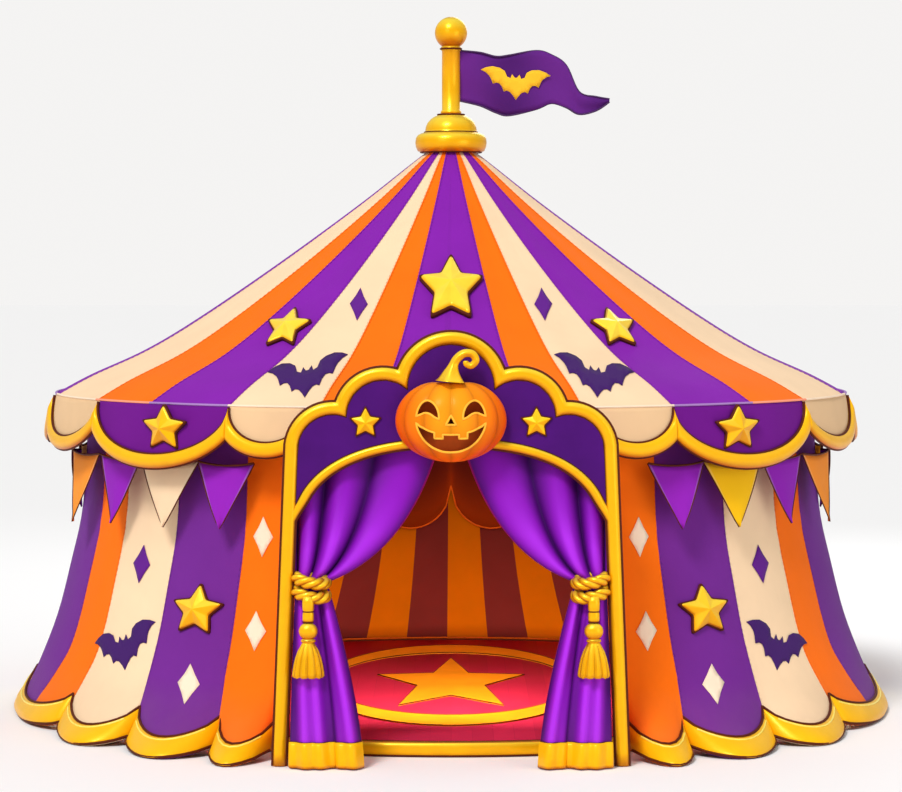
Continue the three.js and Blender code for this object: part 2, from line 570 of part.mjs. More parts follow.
// Tie-backs: a rope band round each curtain with a neck, a ball and a tassel
const TIE_T = 60;
const tieSide = (grown) => {
  const levels = TIE_HEIGHTS.map((z) => oblong(curtainAt(z), grown));
  return levels[0].map((_, i) => levels.map((level) => level[i]));
};
const band = solid(panel(tieSide(GAP + TIE_T), tieSide(GAP), true));
const TASSEL_LINE = [[0, 795], [138, 795], [138, 830], [95, 980], [50, 1120], [48, 1150], [70, 1170],
  [84, 1215], [70, 1260], [48, 1285], [48, 1560], [0, 1560]];
const TASSEL_AT = [1233, -4505];
const TASSEL_FLAT = 0.6;
const tassel = solid(lathe(TASSEL_LINE, 16).scale(1, TASSEL_FLAT, 1).translate(...TASSEL_AT, 0));
const tie = fromSolid(band.add(tassel));
addPiece('tieback_right', tie, GOLD);
addPiece('tieback_left', mirrored(tie), GOLD);

// Pumpkin: a ribbed half pumpkin on the head board with a cut-out grin, and its stem
const PUMPKIN_Z = 3013;
const PUMPKIN_HALF = [490, 357];
const PUMPKIN_DEPTH = 340;
const PUMPKIN_BACK = PORTAL_Y - TRIM_D / 2 - GAP;
const RIBS = 12;
const PUMPKIN_RINGS = 11;
const PUMPKIN_SIDES = 48;
const pumpkinAll = solid(loft(Array.from({ length: PUMPKIN_RINGS }, (_, j) => {
  const rise = rad(-81 + (162 * j) / (PUMPKIN_RINGS - 1));
  return Array.from({ length: PUMPKIN_SIDES }, (__, i) => {
    const turn = (i / PUMPKIN_SIDES) * 2 * Math.PI;
    const rib = (1 - 0.06 * (1 - Math.abs(Math.sin((turn * RIBS) / 2)))) * Math.cos(rise);
    return new THREE.Vector3(Math.sin(turn) * rib * PUMPKIN_HALF[0],
      PUMPKIN_BACK - Math.cos(turn) * rib * PUMPKIN_DEPTH, PUMPKIN_Z + Math.sin(rise) * PUMPKIN_HALF[1]);
  });
})));
const halfSpace = solid(new THREE.BoxGeometry(1200, 800, 900).translate(0, PUMPKIN_BACK + 400, PUMPKIN_Z));
const FACE_FRONT = -4800;
const FACE_FLOOR = PUMPKIN_BACK - 150; // y of the flat floor of the cut-outs
const facePart = (points) => solid(frontPlate(outlineOf(points.map(([x, z]) => [x, PUMPKIN_Z + z])),
  FACE_FRONT, FACE_FLOOR));
const EYE = [[102, 22], [108, 90], [150, 162], [200, 180], [260, 140], [299, 45], [225, 72], [160, 45]];
const NOSE = [[-45, -26], [45, -26], [0, 57]];
const MOUTH = [[-299, -11], [-243, -51], [-141, -92], [-141, -142], [-70, -142], [-70, -106], [70, -106],
  [70, -142], [141, -142], [141, -92], [243, -51], [299, -11], [275, -100], [241, -150], [142, -233],
  [0, -267], [-142, -233], [-241, -150], [-275, -100]];
const leftEye = EYE.map(([x, z]) => [-x, z]).reverse();
const holes = [EYE, leftEye, NOSE, MOUTH].map(facePart);
let pumpkin = pumpkinAll.subtract(halfSpace);
for (const hole of holes) pumpkin = pumpkin.subtract(hole);
addPiece('pumpkin', fromSolid(largestOf(pumpkin)), PUMPKIN);
const STEM_Y = -4540;
const STEM_PATH = new THREE.CatmullRomCurve3([[0, 3350], [10, 3440], [40, 3530], [110, 3590], [190, 3590],
  [225, 3530], [180, 3480]].map(([x, z]) => new THREE.Vector3(x, STEM_Y, z)));
const STEM_STEPS = 12;
const STEM_SIDES = 10;
const STEM_R = 42;
const STEM_FLARE = 88;
const stemSections = [];
for (let i = 0; i <= STEM_STEPS; i++) {
  const u = i / STEM_STEPS;
  const centre = STEM_PATH.getPoint(u);
  const along = STEM_PATH.getTangent(u);
  const r = STEM_R * (1 - 0.3 * u) + STEM_FLARE * Math.max(0, 1 - 4 * u) ** 1.5;
  stemSections.push(Array.from({ length: STEM_SIDES }, (_, k) => {
    const t = (k / STEM_SIDES) * 2 * Math.PI;
    const across = r * Math.cos(t);
    return centre.clone().add(new THREE.Vector3(-along.z * across, r * Math.sin(t), along.x * across));
  }));
}
const stem = solid(loft(stemSections)).subtract(solid(fromSolid(pumpkinAll).clone().translate(0, 0, GAP)));
addPiece('pumpkin_stem', fromSolid(largestOf(stem)), GOLD);

// Stars: faceted gilt stars, each seated a hair off the surface that carries it
const STAR_NOTCH = 0.48; // radius of the inner corners as a share of the tips'
const STAR_T = 30;
const bodyOf = (piece) => {
  piece.updateWorldMatrix(true, false);
  return solid(piece.geometry.clone().applyMatrix4(piece.matrixWorld));
};
const carried = (...names) => names.map((name) => bodyOf(tent.getObjectByName(name)));

// Rim of a star in its own plane: x and z of ten corners, widened sideways
const starRim = (radius, widen = 1) => Array.from({ length: 10 }, (_, i) => {
  const turn = rad(i * 36);
  const r = i % 2 ? radius * STAR_NOTCH : radius;
  return [widen * r * Math.sin(turn), r * Math.cos(turn)];
});

// A star between a back sheet and a raised front, each given by a function of x, z and how far it stands out
function starBetween(rim, place) {
  const points = [place(0, 0, STAR_T * 2.2), place(0, 0, 0)];
  for (const [x, z] of rim) points.push(place(x, z, STAR_T), place(x, z, 0));
  const index = [];
  for (let i = 0; i < rim.length; i++) {
    const [a, b] = [2 + i * 2, 2 + ((i + 1) % rim.length) * 2];
    index.push(0, b, a, 1, a + 1, b + 1, a, b, b + 1, a, b + 1, a + 1);
  }
  return geometryOf(points, index);
}

// Moves a piece along a direction until it all but touches what carries it
function seat(piece, direction, carriers) {
  const REACH = 600;
  const SEAT_ROUNDS = 12;
  for (let round = 0; round < SEAT_ROUNDS; round++) {
    const body = bodyOf(piece);
    const gap = Math.min(...carriers.map((carrier) => body.minGap(carrier, REACH)));
    piece.position.addScaledVector(direction, gap - GAP);
  }
}

// A flat star on the wall or the valance, leaning back by lean degrees, and widened so that it looks regular
// from the front
function flatStar(name, azimuth, radius, height, lean, size, carriers) {
  const rim = starRim(size, 1 / Math.cos(rad(azimuth)));
  const star = addPiece(name, starBetween(rim, (x, z, out) => new THREE.Vector3(x, -out, z)), GOLD);
  star.rotation.set(rad(-lean), 0, rad(azimuth), 'ZXY');
  star.position.set(radius * Math.sin(rad(azimuth)), -radius * Math.cos(rad(azimuth)), height);
  seat(star, new THREE.Vector3(-Math.sin(rad(azimuth)), Math.cos(rad(azimuth)), 0), carriers);
}

const ROOF_STAR = { lean: 0.32, tall: 0.86 }; // slant and squat of the stars beside the middle

// A star bent over the roof, upright as seen from the doorway's side; those beside the middle lean inwards
function roofStar(name, x0, z0, size, lean, tall, carriers) {
  const lift = (across, height, out) => {
    const x = x0 + across + lean * height;
    const z = z0 + height * tall;
    const r = radiusAt(ROOF_LINE, z);
    const y = -Math.sqrt(r * r - x * x);
    const slope = new THREE.Vector3(x / r, y / r, 1.4).normalize();
    return new THREE.Vector3(x, y, z).addScaledVector(slope, out);
  };
  const star = addPiece(name, starBetween(starRim(size), lift), GOLD);
  const up = new THREE.Vector3(x0 / 3000, -0.5, 0.8).normalize();
  star.position.copy(up).multiplyScalar(100);
  seat(star, up.negate(), carriers);
}
for (const [side, sign] of [['right', 1], ['left', -1]]) {
  flatStar(`valance_star_${side}`, sign * 40.8, 4150, 2870, 0, 214, carried(`valance_${side}_front`));
  flatStar(`wall_star_${side}`, sign * 36.8, 4150, 1215, 14, 238, carried(`wall_${side}_1`));
  const gore = sign > 0 ? 'roof_gore_2' : 'roof_gore_8';
  const carriers = carried(gore, 'roof_gore_1');
  roofStar(`roof_star_${side}`, sign * 1523, 3755, 218, sign * -ROOF_STAR.lean, ROOF_STAR.tall, carriers);
}
roofStar('roof_star_front', 0, 4115, 308, 0, 1, carried('roof_gore_1'));

export default tent;
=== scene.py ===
"""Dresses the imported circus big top: striped canvas, valance, gilt portal, curtains and ring floor."""

import math
import random
from itertools import pairwise

import bmesh
import bpy
from bpy.props import FloatProperty, FloatVectorProperty, IntProperty, PointerProperty
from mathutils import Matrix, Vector
from mathutils.bvhtree import BVHTree


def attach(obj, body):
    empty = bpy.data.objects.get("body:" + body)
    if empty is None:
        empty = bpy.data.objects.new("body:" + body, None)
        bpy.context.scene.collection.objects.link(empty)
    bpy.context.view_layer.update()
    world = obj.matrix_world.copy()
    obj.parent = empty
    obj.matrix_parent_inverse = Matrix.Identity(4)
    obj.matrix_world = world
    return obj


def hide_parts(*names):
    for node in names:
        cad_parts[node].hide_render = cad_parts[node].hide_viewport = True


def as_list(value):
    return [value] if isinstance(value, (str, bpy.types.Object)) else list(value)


bl_info = {
    "name": "Circus big top",
    "version": (1, 0, 0),
    "blender": (4, 5, 0),
    "location": "3D View > Sidebar > Tent",
    "description": "Builds the cloth, trims, curtains and floor of a striped circus tent",
    "category": "Object",
}

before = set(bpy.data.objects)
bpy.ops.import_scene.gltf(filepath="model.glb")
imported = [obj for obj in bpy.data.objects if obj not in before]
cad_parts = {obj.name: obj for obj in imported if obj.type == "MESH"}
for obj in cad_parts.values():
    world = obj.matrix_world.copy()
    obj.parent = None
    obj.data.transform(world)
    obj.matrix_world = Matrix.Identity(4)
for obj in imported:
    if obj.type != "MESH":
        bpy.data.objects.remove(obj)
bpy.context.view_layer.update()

# Driving dimensions in metres; azimuth is in degrees from the doorway (-Y) towards +X
EAVE_R = 3.91
EAVE_Z = 3.09
ROOF_LINE = [(0.2, 5.469), (0.3, 5.434), (0.9, 4.97), (1.7, 4.39), (2.5, 3.845), (3.04, 3.52), (3.58, 3.27),
             (3.91, 3.09)]
WALL_LINE = [(3.6, 2.9897), (3.62, 2.5), (3.66, 1.92), (3.77, 1.42), (3.9, 0.92), (4.07, 0.48),
             (4.19, 0.23), (4.29, 0.05), (4.31, 0.0)]
DOOR_EDGE = 21.7
HEM_LOBES = [DOOR_EDGE, 29.5, 42.9, 58.4, 90, 121.6, 137.1, 150.5, 158.3, 170, 190]
HEM_BULGE = (0.0, 0.33)
HEM_NOTCH = 0.075
HEM_PUSH = 0.28
HEM_HEIGHT = 0.28
HEM_DIP = 0.115
HEM_REACH = 0.7
HEM_PUSH_FROM = 75
HEM_PUSH_OVER = 20
WALL_PILLOW = 0.014
HEM_PUFF = (0.02, 0.04)
HEM_SIDES = 12
VALANCE_R = 3.9253
VALANCE_FLARE = 0.063
VALANCE_START = 19.4
SCALLOPS = [(18.9, 30.3, 2.64, "cream"), (30.3, 56.6, 2.5, "purple"), (56.6, 80, 2.59, "cream"),
            (80, 100, 2.59, "purple"), (100, 123.4, 2.59, "cream"), (123.4, 149.7, 2.5, "purple"),
            (149.7, 163, 2.64, "cream")]
BACK_SCALLOP = (163, 197, 2.5, "purple")
EDGING_WIDTH = 0.132

# Stripes: the azimuth at which each ends, at the top and at the foot of the cloth, and its colour
ROOF_STRIPES = [(9.1, 9.3, "purple"), (17.5, 17.3, "orange"), (27.4, 30.6, "cream"), (40.8, 44.6, "purple"),
                (52.5, 57.8, "orange"), (73, 78, "cream"), (107, 102, "purple"), (127.5, 122.2, "cream"),
                (139.2, 135.4, "orange"), (152.6, 149.4, "purple"), (162.5, 162.7, "cream"),
                (170.9, 170.7, "orange"), (180, 180, "purple")]
WALL_STRIPES = [(30.6, 29.5, "orange"), (43.4, 42.9, "purple"), (56.4, 58.4, "cream"),
                (65.6, 69.5, "orange"), (84.5, 85.5, "purple"), (97.5, 97.2, "cream"),
                (114.4, 110.5, "purple"), (123.6, 121.6, "orange"), (136.6, 137.1, "cream"),
                (149.4, 150.5, "purple"), (158.3, 158.3, "orange"), (170, 170, "cream"),
                (180, 180, "purple")]

BUNTING_R = 3.81
BUNTING_TAPE = 2.57
BUNTING_TIP = 1.98
BUNTING_LEAN = 0.09
BUNTING_TUCK = 0.125
BUNTING_DROPS = (0.0, 0.02, 0.03, 0.075)
BUNTING_COUNT = 13
BUNTING_SAG = 0.03
PENNANT_ACROSS = 8
BUNTING_ENDS = [27.6, 37, 48.7, 60.3, *[74.5 + 11.72 * i for i in range(BUNTING_COUNT - 3)]]

PORTAL_Y = -4.34
POST_FOOT_X = 1.493
POST_TOP_X = 1.389
POST_TOP_Z = 2.708
HEAD_LOBES = [(0, 3.288, 0.433), (0.588, 3.037, 0.376), (1.021, 2.752, 0.363)]
TRIM_W = 0.12
TRIM_D = 0.12
ARCH_HALF = 1.335
ARCH_SPRING = 1.97
ARCH_RISE = 0.83
ARCH_POWER = 2.4
ARCH_SLIM = 0.03
ARCH_TUCK = 0.07
ARCH_TUCK_FROM = 0.36
ARCH_TUCK_OVER = 0.3

FLOOR_R = 3.92
FLOOR_Y = 0.12
FLOOR_TOP = 0.12
RING_Y = 0.31
RING_OUTER = (1.35, 3.11)
RING_INNER = (1.23, 2.42)
STAR_INLAY = [(0, 2.25), (0.185, 0.98), (0.755, 0.86), (0.34, 0), (0.506, -1.447), (0, -0.74)]
INLAY_T = 0.012
PATCH_T = 0.003
PATCH_LIFT = 0.009
SEAM_RISE = 0.003
WELT = (0.011, 0.014)

LINING_GAP = 0.075
LINING_STRIPE = 6.45
PELMET_FIRST = 121.6
PELMET_PITCH = 14.6
PELMET_COUNT = 8
PELMET_R = 3.49
PELMET_NOTCH = 1.9
PELMET_LOW = 1.43
LINING_MIDDLE = 180.6
LINING_HALF = 75
LINING_LEAN = 0.1

POLE_R = 0.09
CROWN_CORDS = [(0.262, 5.672), (0.132, 5.848), (0.302, 5.474), (0.104, 6.502)]
FLAG_STATIONS = [(0.09, 6.485, 5.985), (0.29, 6.47, 5.94), (0.45, 6.43, 5.87), (0.58, 6.44, 5.84),
                 (0.85, 6.48, 5.9), (1.0, 6.44, 5.96), (1.15, 6.34, 5.92), (1.28, 6.08, 5.855),
                 (1.45, 6.03, 5.89), (1.58, 6.005, 5.975)]
FLAG_WAVE = 0.06
FLAG_FOLD = 0.5
FLAG_BAT = (0.645, 6.16)

PUMPKIN_Z = 3.013
PUMPKIN_HALF = (0.49, 0.357)
PUMPKIN_DEPTH = 0.34
PUMPKIN_BACK = -4.4003
PUMPKIN_RIBS = 12
STEM_Y = -4.54
STEM_SIDES = 20
STEM_PATH = [(0, 3.35), (0.01, 3.44), (0.04, 3.53), (0.105, 3.59), (0.18, 3.59), (0.214, 3.535),
             (0.175, 3.488), (0.132, 3.502), (0.126, 3.532)]
TIE_AT = (1.21, -4.375)
TIE_HALF = (0.122, 0.1)
TIE_LOOPS = [(1.635, 0.03), (1.53, 0.05)]
TASSEL_AT = (1.233, -4.505)
TASSEL_FLAT = 0.75
ROPE_STRANDS = 3
ROPE_LAY = 0.26

CAMERA_AT = (0, -32.25, 4.37)
CAMERA_LENS = 128.7
CAMERA_DIP = 2.361

# Lights: name, kind, place, size (or angle), power, what it points at and colour
WHITE = (1, 1, 1)
LIGHTS = [("Key", "AREA", (-9, -17, 11), 8, 260, (-0.4, -2, 2.4), WHITE),
          ("Fill", "AREA", (13, -15, 4.8), 9, 385, (0, -2, 2), WHITE),
          ("Rim", "AREA", (4, 16, 12), 8, 500, (0, 0, 3), WHITE),
          ("Day", "SUN", (-7, -15, 18), math.radians(16), 2.0, (0, 0, 0), WHITE),
          ("Threshold", "AREA", (0, -3.3, 2.7), 1.2, 11, (0, -1.3, 0), (1, 0.9, 0.8)),
          ("Ring", "AREA", (0, -2.6, 2.05), 1.6, 245, (0, 3.2, 0.9), (1, 0.88, 0.66))]


def paint(red, green, blue):
    """Linear colour from screen values of 0 to 255."""
    return tuple(c / 255 / 12.92 if c <= 10 else ((c / 255 + 0.055) / 1.055) ** 2.4
                 for c in (red, green, blue))


def colour_setting(label, about, value):
    return FloatVectorProperty(name=label, description=about, subtype="COLOR", size=3, min=0, max=1,
                               default=paint(*value))


def length_setting(label, about, value):
    return FloatProperty(name=label, description=about, unit="LENGTH", min=0.0005, max=0.5, default=value)


class TentSizes(bpy.types.PropertyGroup):
    """Sizes of the tent's cloth and trims"""

    cloth: length_setting("Cloth thickness", "Thickness of canvas, valance and curtains", 0.004)
    column: FloatProperty(name="Cloth column", description="Widest column of a round sheet, in degrees",
                          default=1.5, min=0.5, max=7.5)
    roof_sag: length_setting("Roof sag", "How far the roof sags between two seams", 0.014)
    seam: length_setting("Seam width", "Width of the felled seam between two stripes", 0.012)
    piping: length_setting("Piping radius", "Radius of the dark cord sewn along the gilt trims", 0.013)
    stitch: length_setting("Stitch length", "Length of one stitch", 0.028)
    stitch_pitch: length_setting("Stitch pitch", "Distance from one stitch to the next", 0.055)
    rope: length_setting("Rope radius", "Radius of the curtain rope over its strands", 0.058)
    fold_depth: length_setting("Curtain fold depth", "Depth of the curtains' folds", 0.085)
    threads: IntProperty(name="Tassel threads", description="Threads round one tassel's skirt", default=84,
                         min=12, max=160)


class TentColours(bpy.types.PropertyGroup):
    """Colours of the tent's cloth, paint and gilding, with the painted highlight and shade of the gilt, the
    curtains and the pumpkin
    """

    roof_purple: colour_setting("Roof purple", "Purple stripes of the roof", (131, 29, 168))
    purple: colour_setting("Wall purple", "Purple stripes of the wall", (112, 40, 142))
    valance_purple: colour_setting("Valance purple", "Purple scallops of the valance", (108, 18, 134))
    orange: colour_setting("Orange", "Orange stripes", (253, 114, 8))
    cream: colour_setting("Cream", "Cream stripes", (246, 213, 174))
    valance_cream: colour_setting("Valance cream", "Cream scallops of the valance", (230, 192, 148))
    patch_purple: colour_setting("Patch purple", "Dark purple of the sewn bats", (66, 30, 102))
    diamond_purple: colour_setting("Diamond purple", "Purple of the sewn diamonds", (98, 32, 138))
    gilt: colour_setting("Gilt", "Middle tone of the gilding", (252, 184, 8))
    # Painted highlight where the gilding faces up, and painted shade where it faces down
    gilt_painted_highlight: colour_setting("Bright gilt", "Gilding that faces up", (255, 226, 64))
    gilt_painted_shade: colour_setting("Deep gilt", "Gilding that faces down", (206, 104, 2))
    binding: colour_setting("Binding", "Dark cord along the trims", (88, 32, 10))
    board: colour_setting("Head board", "Purple paint of the head board", (71, 14, 107))
    # Ridge colour is a painted highlight and valley colour a painted shade on the folds; the slope colour is
    # the satin's own
    curtain: colour_setting("Curtain", "Ridges of the curtains' folds", (172, 44, 226))
    curtain_middle: colour_setting("Curtain slope", "Slopes of the curtains' folds", (138, 20, 184))
    curtain_valley_shade: colour_setting("Curtain valley", "Valleys of the curtains' folds", (52, 0, 82))
    floor: colour_setting("Floor", "Painted boards of the ring floor", (186, 39, 72))
    lining_orange: colour_setting("Lining orange", "Orange stripes of the lining", (255, 138, 10))
    lining_maroon: colour_setting("Lining maroon", "Maroon stripes of the lining", (150, 58, 56))
    # The middle colour is the skin with a painted highlight; the side colour is painted shade
    pumpkin: colour_setting("Pumpkin", "Skin of the pumpkin at its middle", (252, 158, 26))
    pumpkin_side_shade: colour_setting("Pumpkin side", "Skin of the pumpkin at its sides", (242, 84, 0))


def sizes():
    return bpy.context.scene.tent_sizes


def colours():
    return bpy.context.scene.tent_colours


# Lines and surfaces of the tent


def smooth_line(points, steps):
    """More points on a smooth curve through the given ones, ends included."""
    ends = [points[0], *points, points[-1]]
    line = []
    for a, b, c, d in zip(ends, ends[1:], ends[2:], ends[3:]):
        for k in range(steps):
            t = k / steps
            line.append(tuple(
                0.5 * (2 * q + (r - p) * t + (2 * p - 5 * q + 4 * r - s) * t * t
                       + (3 * q - p - 3 * r + s) * t ** 3)
                for p, q, r, s in zip(a, b, c, d)))
    return [*line, tuple(points[-1])]


ROOF_CURVE = smooth_line(ROOF_LINE, 8)
WALL_CURVE = smooth_line(WALL_LINE, 6)
WALL_TOP = WALL_LINE[0][1]


def radius_at(curve, z):
    """Radius of a falling line of (radius, height) points at a height."""
    for (r0, z0), (r1, z1) in pairwise(curve):
        if z0 >= z >= z1:
            return r0 + (r1 - r0) * (z0 - z) / max(z0 - z1, 1e-9)
    return curve[0][0] if z > curve[0][1] else curve[-1][0]


def height_at(curve, radius):
    """Height of a widening line of (radius, height) points at a radius."""
    for (r0, z0), (r1, z1) in pairwise(curve):
        if r0 <= radius <= r1:
            return z0 + (z1 - z0) * (radius - r0) / max(r1 - r0, 1e-9)
    return curve[0][1] if radius < curve[0][0] else curve[-1][1]


def polar(azimuth, radius, z):
    turn = math.radians(azimuth)
    return Vector((radius * math.sin(turn), -radius * math.cos(turn), z))


def outward(azimuth):
    return polar(azimuth, 1, 0)


def folded(azimuth):
    """The azimuth on the right half that mirrors this one."""
    a = azimuth % 360
    return 360 - a if a > 180 else a


def columns(start, end, marks, step):
    """Azimuths from start to end through every mark, no two further apart than step."""
    stops = sorted({start, end, *(m for m in marks if start < m < end)})
    line = []
    for a, b in pairwise(stops):
        count = max(1, math.ceil((b - a) / step))
        line += [a + (b - a) * k / count for k in range(count)]
    return [*line, end]


def whole_turn(marks):
    """Marks of the right half repeated on the left half."""
    return sorted({*marks, *(360 - m for m in marks)})


def leaned(azimuth, low, high, share):
    """Moves an azimuth with the stripes' edges, which stand at low at the foot and at high at the top."""
    a = folded(azimuth)
    edges_low = [0, *low]
    edges_high = [0, *high]
    for i in range(1, len(edges_low)):
        if a <= edges_low[i] + 1e-9:
            t = (a - edges_low[i - 1]) / max(edges_low[i] - edges_low[i - 1], 1e-9)
            top = edges_high[i - 1] + t * (edges_high[i] - edges_high[i - 1])
            a += (top - a) * share
            break
    return 360 - a if azimuth % 360 > 180 else a


def stripe_of(azimuth, stripes, edge):
    """Index of the stripe that holds an azimuth."""
    a = folded(azimuth)
    return next((i for i, stripe in enumerate(stripes) if a <= stripe[edge] + 1e-6), len(stripes) - 1)


def stripe_share(azimuth, stripes, edge):
    """How far across its stripe an azimuth lies, from 0 to 1."""
    i = stripe_of(azimuth, stripes, edge)
    low = stripes[i - 1][edge] if i else -stripes[0][edge]
    high = stripes[i][edge] if i < len(stripes) - 1 else 360 - stripes[i - 1][edge]
    return (folded(azimuth) - low) / (high - low)


def roof_at(azimuth, radius, lift=0.0):
    """A point on the roof, sagging between the seams, at a radius."""
    share = (radius - ROOF_CURVE[0][0]) / (EAVE_R - ROOF_CURVE[0][0])
    across = stripe_share(azimuth, ROOF_STRIPES, 1)
    sag = sizes().roof_sag * math.sin(math.pi * min(max(share, 0), 1)) * math.sin(math.pi * across) ** 2
    return polar(azimuth, radius + lift * 0.5, height_at(ROOF_CURVE, radius) - sag + lift * 0.85)


def lobe_at(azimuth):
    """1 at the middle of a lobe of the wall's hem and 0 at its notches."""
    a = azimuth % 360
    a = 360 - a if a > 190 else a
    for low, high in pairwise(HEM_LOBES):
        if a <= high + 1e-9:
            t = min(max((a - low) / (high - low), 0), 1)
            return math.sqrt(math.sin(math.pi * t)) if 0 < t < 1 else 0.0
    return 0.0


def hem_share(z):
    """How much of the hem's bulge is left at a height."""
    return max(0, 1 - z / HEM_REACH) ** 1.5


def wall_radius(azimuth, z):
    lobe = lobe_at(azimuth)
    side, front = HEM_BULGE
    foot = (side + front * math.cos(math.radians(azimuth)) ** 2) * lobe * hem_share(z)
    pillow = WALL_PILLOW * lobe * math.sin(math.pi * min(max(z / 2.9, 0), 1))
    return radius_at(WALL_CURVE, z) + foot + pillow


def wall_at(azimuth, z, lift=0.0):
    """A point on the wall, whose front lobes are drawn forward at their feet."""
    point = polar(azimuth, wall_radius(azimuth, z) + lift, z)
    reach = HEM_PUSH * min(1, max(0, (HEM_PUSH_FROM - folded(azimuth)) / HEM_PUSH_OVER))
    point.y -= reach * lobe_at(azimuth) ** 2 * hem_share(z)
    return point


def hem_levels(azimuth):
    """Foot and top of the wall's gold hem."""
    lobe = lobe_at(azimuth)
    foot = HEM_NOTCH * (1 - lobe)
    return foot, foot + HEM_HEIGHT - HEM_DIP * lobe


def valance_radius(z):
    drop = min(max((EAVE_Z - z) / 0.55, 0), 1)
    return VALANCE_R + VALANCE_FLARE * math.sin(drop * math.pi / 2)


def bow(turn, power=2.3):
    """Cosine and sine of a slightly squared circle."""
    c, s = math.cos(turn), math.sin(turn)
    return math.copysign(abs(c) ** (2 / power), c), math.copysign(abs(s) ** (2 / power), s)


def arch_line(offset, steps=40):
    """Right half of the doorway arch from its spring to its crown, as (x, z)."""
    line = []
    for k in range(steps + 1):
        c, s = bow(k / steps * math.pi / 2, ARCH_POWER)
        line.append(((ARCH_HALF + offset) * c, ARCH_SPRING + (ARCH_RISE + offset) * s))
    line[-1] = (0, ARCH_SPRING + ARCH_RISE + offset)
    return line


def lobe_corner(first, second, offset):
    """Where two neighbouring lobes of the head meet."""
    (x0, z0, r0), (x1, z1, r1) = first, second
    a, b = r0 + offset, r1 + offset
    d = math.hypot(x1 - x0, z1 - z0)
    along = (d * d + a * a - b * b) / (2 * d)
    up = math.sqrt(a * a - along * along)
    return x0 + ((x1 - x0) * along + (z0 - z1) * up) / d, z0 + ((z1 - z0) * along + (x1 - x0) * up) / d


def head_line(offset, steps=14):
    """Right half of the cloud-shaped head from the post to its crown, one list of (x, z) for each lobe."""
    lobes = HEAD_LOBES[::-1]
    start = (HEAD_LOBES[2][0] + HEAD_LOBES[2][2] + offset, POST_TOP_Z)
    arcs = []
    for i, (x, z, r) in enumerate(lobes):
        end = lobe_corner(lobes[i + 1], lobes[i], offset) if i < 2 else (0, z + r + offset)
        low = 0 if i == 0 else math.atan2(start[1] - z, start[0] - x)
        high = math.atan2(end[1] - z, end[0] - x)
        turns = [low + (high - low) * k / steps for k in range(steps + 1)]
        arc = [(x + (r + offset) * math.cos(t), z + (r + offset) * math.sin(t)) for t in turns]
        arcs.append([start, *arc[1:-1], end])
        start = end
    return arcs


def both_sides(half):
    """A right half from the side to the middle, followed by its mirror image."""
    return [*half, *[(-x, z) for x, z in half[-2::-1]]]


# Meshes


def new_piece(name, vertices, faces, *materials, smooth=True):
    mesh = bpy.data.meshes.new(name)
    mesh.from_pydata([tuple(v) for v in vertices], [], faces)
    for material in materials:
        mesh.materials.append(material)
    mesh.polygons.foreach_set("use_smooth", [smooth] * len(mesh.polygons))
    piece = bpy.data.objects.new(name, mesh)
    bpy.context.scene.collection.objects.link(piece)
    return piece


def colour_corners(piece, tone):
    """Stores a colour for each corner of each face, the piece's own colour and on some pieces painted
    highlight and shade; tone gives it by the indices of face and vertex.
    """
    layer = piece.data.color_attributes.new("dye", "FLOAT_COLOR", "CORNER")
    values = []
    for face in piece.data.polygons:
        for vertex in face.vertices:
            values += [*tone(face.index, vertex), 1.0]
    layer.data.foreach_set("color", values)


def colour_faces(piece, face_colour):
    colour_corners(piece, lambda face, _: face_colour(face))


def colour_points(piece, point_colours):
    colour_corners(piece, lambda _, vertex: point_colours[vertex])


def lay_out(piece, grid_uv):
    """Gives the cloth a UV map in metres, from one pair for each vertex."""
    layer = piece.data.uv_layers.new(name="Cloth")
    values = []
    for loop in piece.data.loops:
        values += grid_uv[loop.vertex_index]
    layer.uv.foreach_set("vector", values)


def sheet_from(name, grid, material, turned=False, closed=False):
    """A smooth sheet through a grid of points, [column][row], with its cloth laid out in metres."""
    rows = len(grid[0])
    count = len(grid)
    vertices = [p for column in grid for p in column]
    faces = []
    for i in range(count if closed else count - 1):
        j = (i + 1) % count
        for k in range(rows - 1):
            face = (i * rows + k, j * rows + k, j * rows + k + 1, i * rows + k + 1)
            faces.append(face[::-1] if turned else face)
    piece = new_piece(name, vertices, faces, material)
    middle = rows // 2
    across = [0.0]
    for a, b in pairwise(grid):
        across.append(across[-1] + (b[middle] - a[middle]).length)
    uv = []
    for i, column in enumerate(grid):
        down = 0.0
        for k, point in enumerate(column):
            down += (point - column[k - 1]).length if k else 0.0
            uv.append((across[i], down))
    lay_out(piece, uv)
    return piece


def grid_faces(first, rows, width):
    """Faces of a grid of vertices, row after row."""
    starts = [first + j * width + k for j in range(rows - 1) for k in range(width - 1)]
    return [(a, a + 1, a + width + 1, a + width) for a in starts]


def tidy_shell(piece):
    """Merges doubles and turns the faces outwards."""
    shell = bmesh.new()
    shell.from_mesh(piece.data)
    bmesh.ops.remove_doubles(shell, verts=shell.verts, dist=1e-5)
    bmesh.ops.recalc_face_normals(shell, faces=shell.faces)
    shell.to_mesh(piece.data)
    shell.free()


def thicken(piece, thickness, offset=-1.0):
    """Gives a sheet its thickness, inwards from its outer face."""
    wall = piece.modifiers.new("Thickness", "SOLIDIFY")
    wall.thickness = thickness
    wall.offset = offset


def ring_faces(first, rings, sides, closed=False, capped=True):
    """Faces between rings of vertices that follow each other, with a lid at either end."""
    faces = []
    for i in range(rings if closed else rings - 1):
        a, b = first + i * sides, first + (i + 1) % rings * sides
        faces += [(a + k, a + (k + 1) % sides, b + (k + 1) % sides, b + k) for k in range(sides)]
    if capped and not closed:
        last = first + (rings - 1) * sides
        faces += [tuple(range(first, first + sides)), tuple(range(last, last + sides))]
    return faces


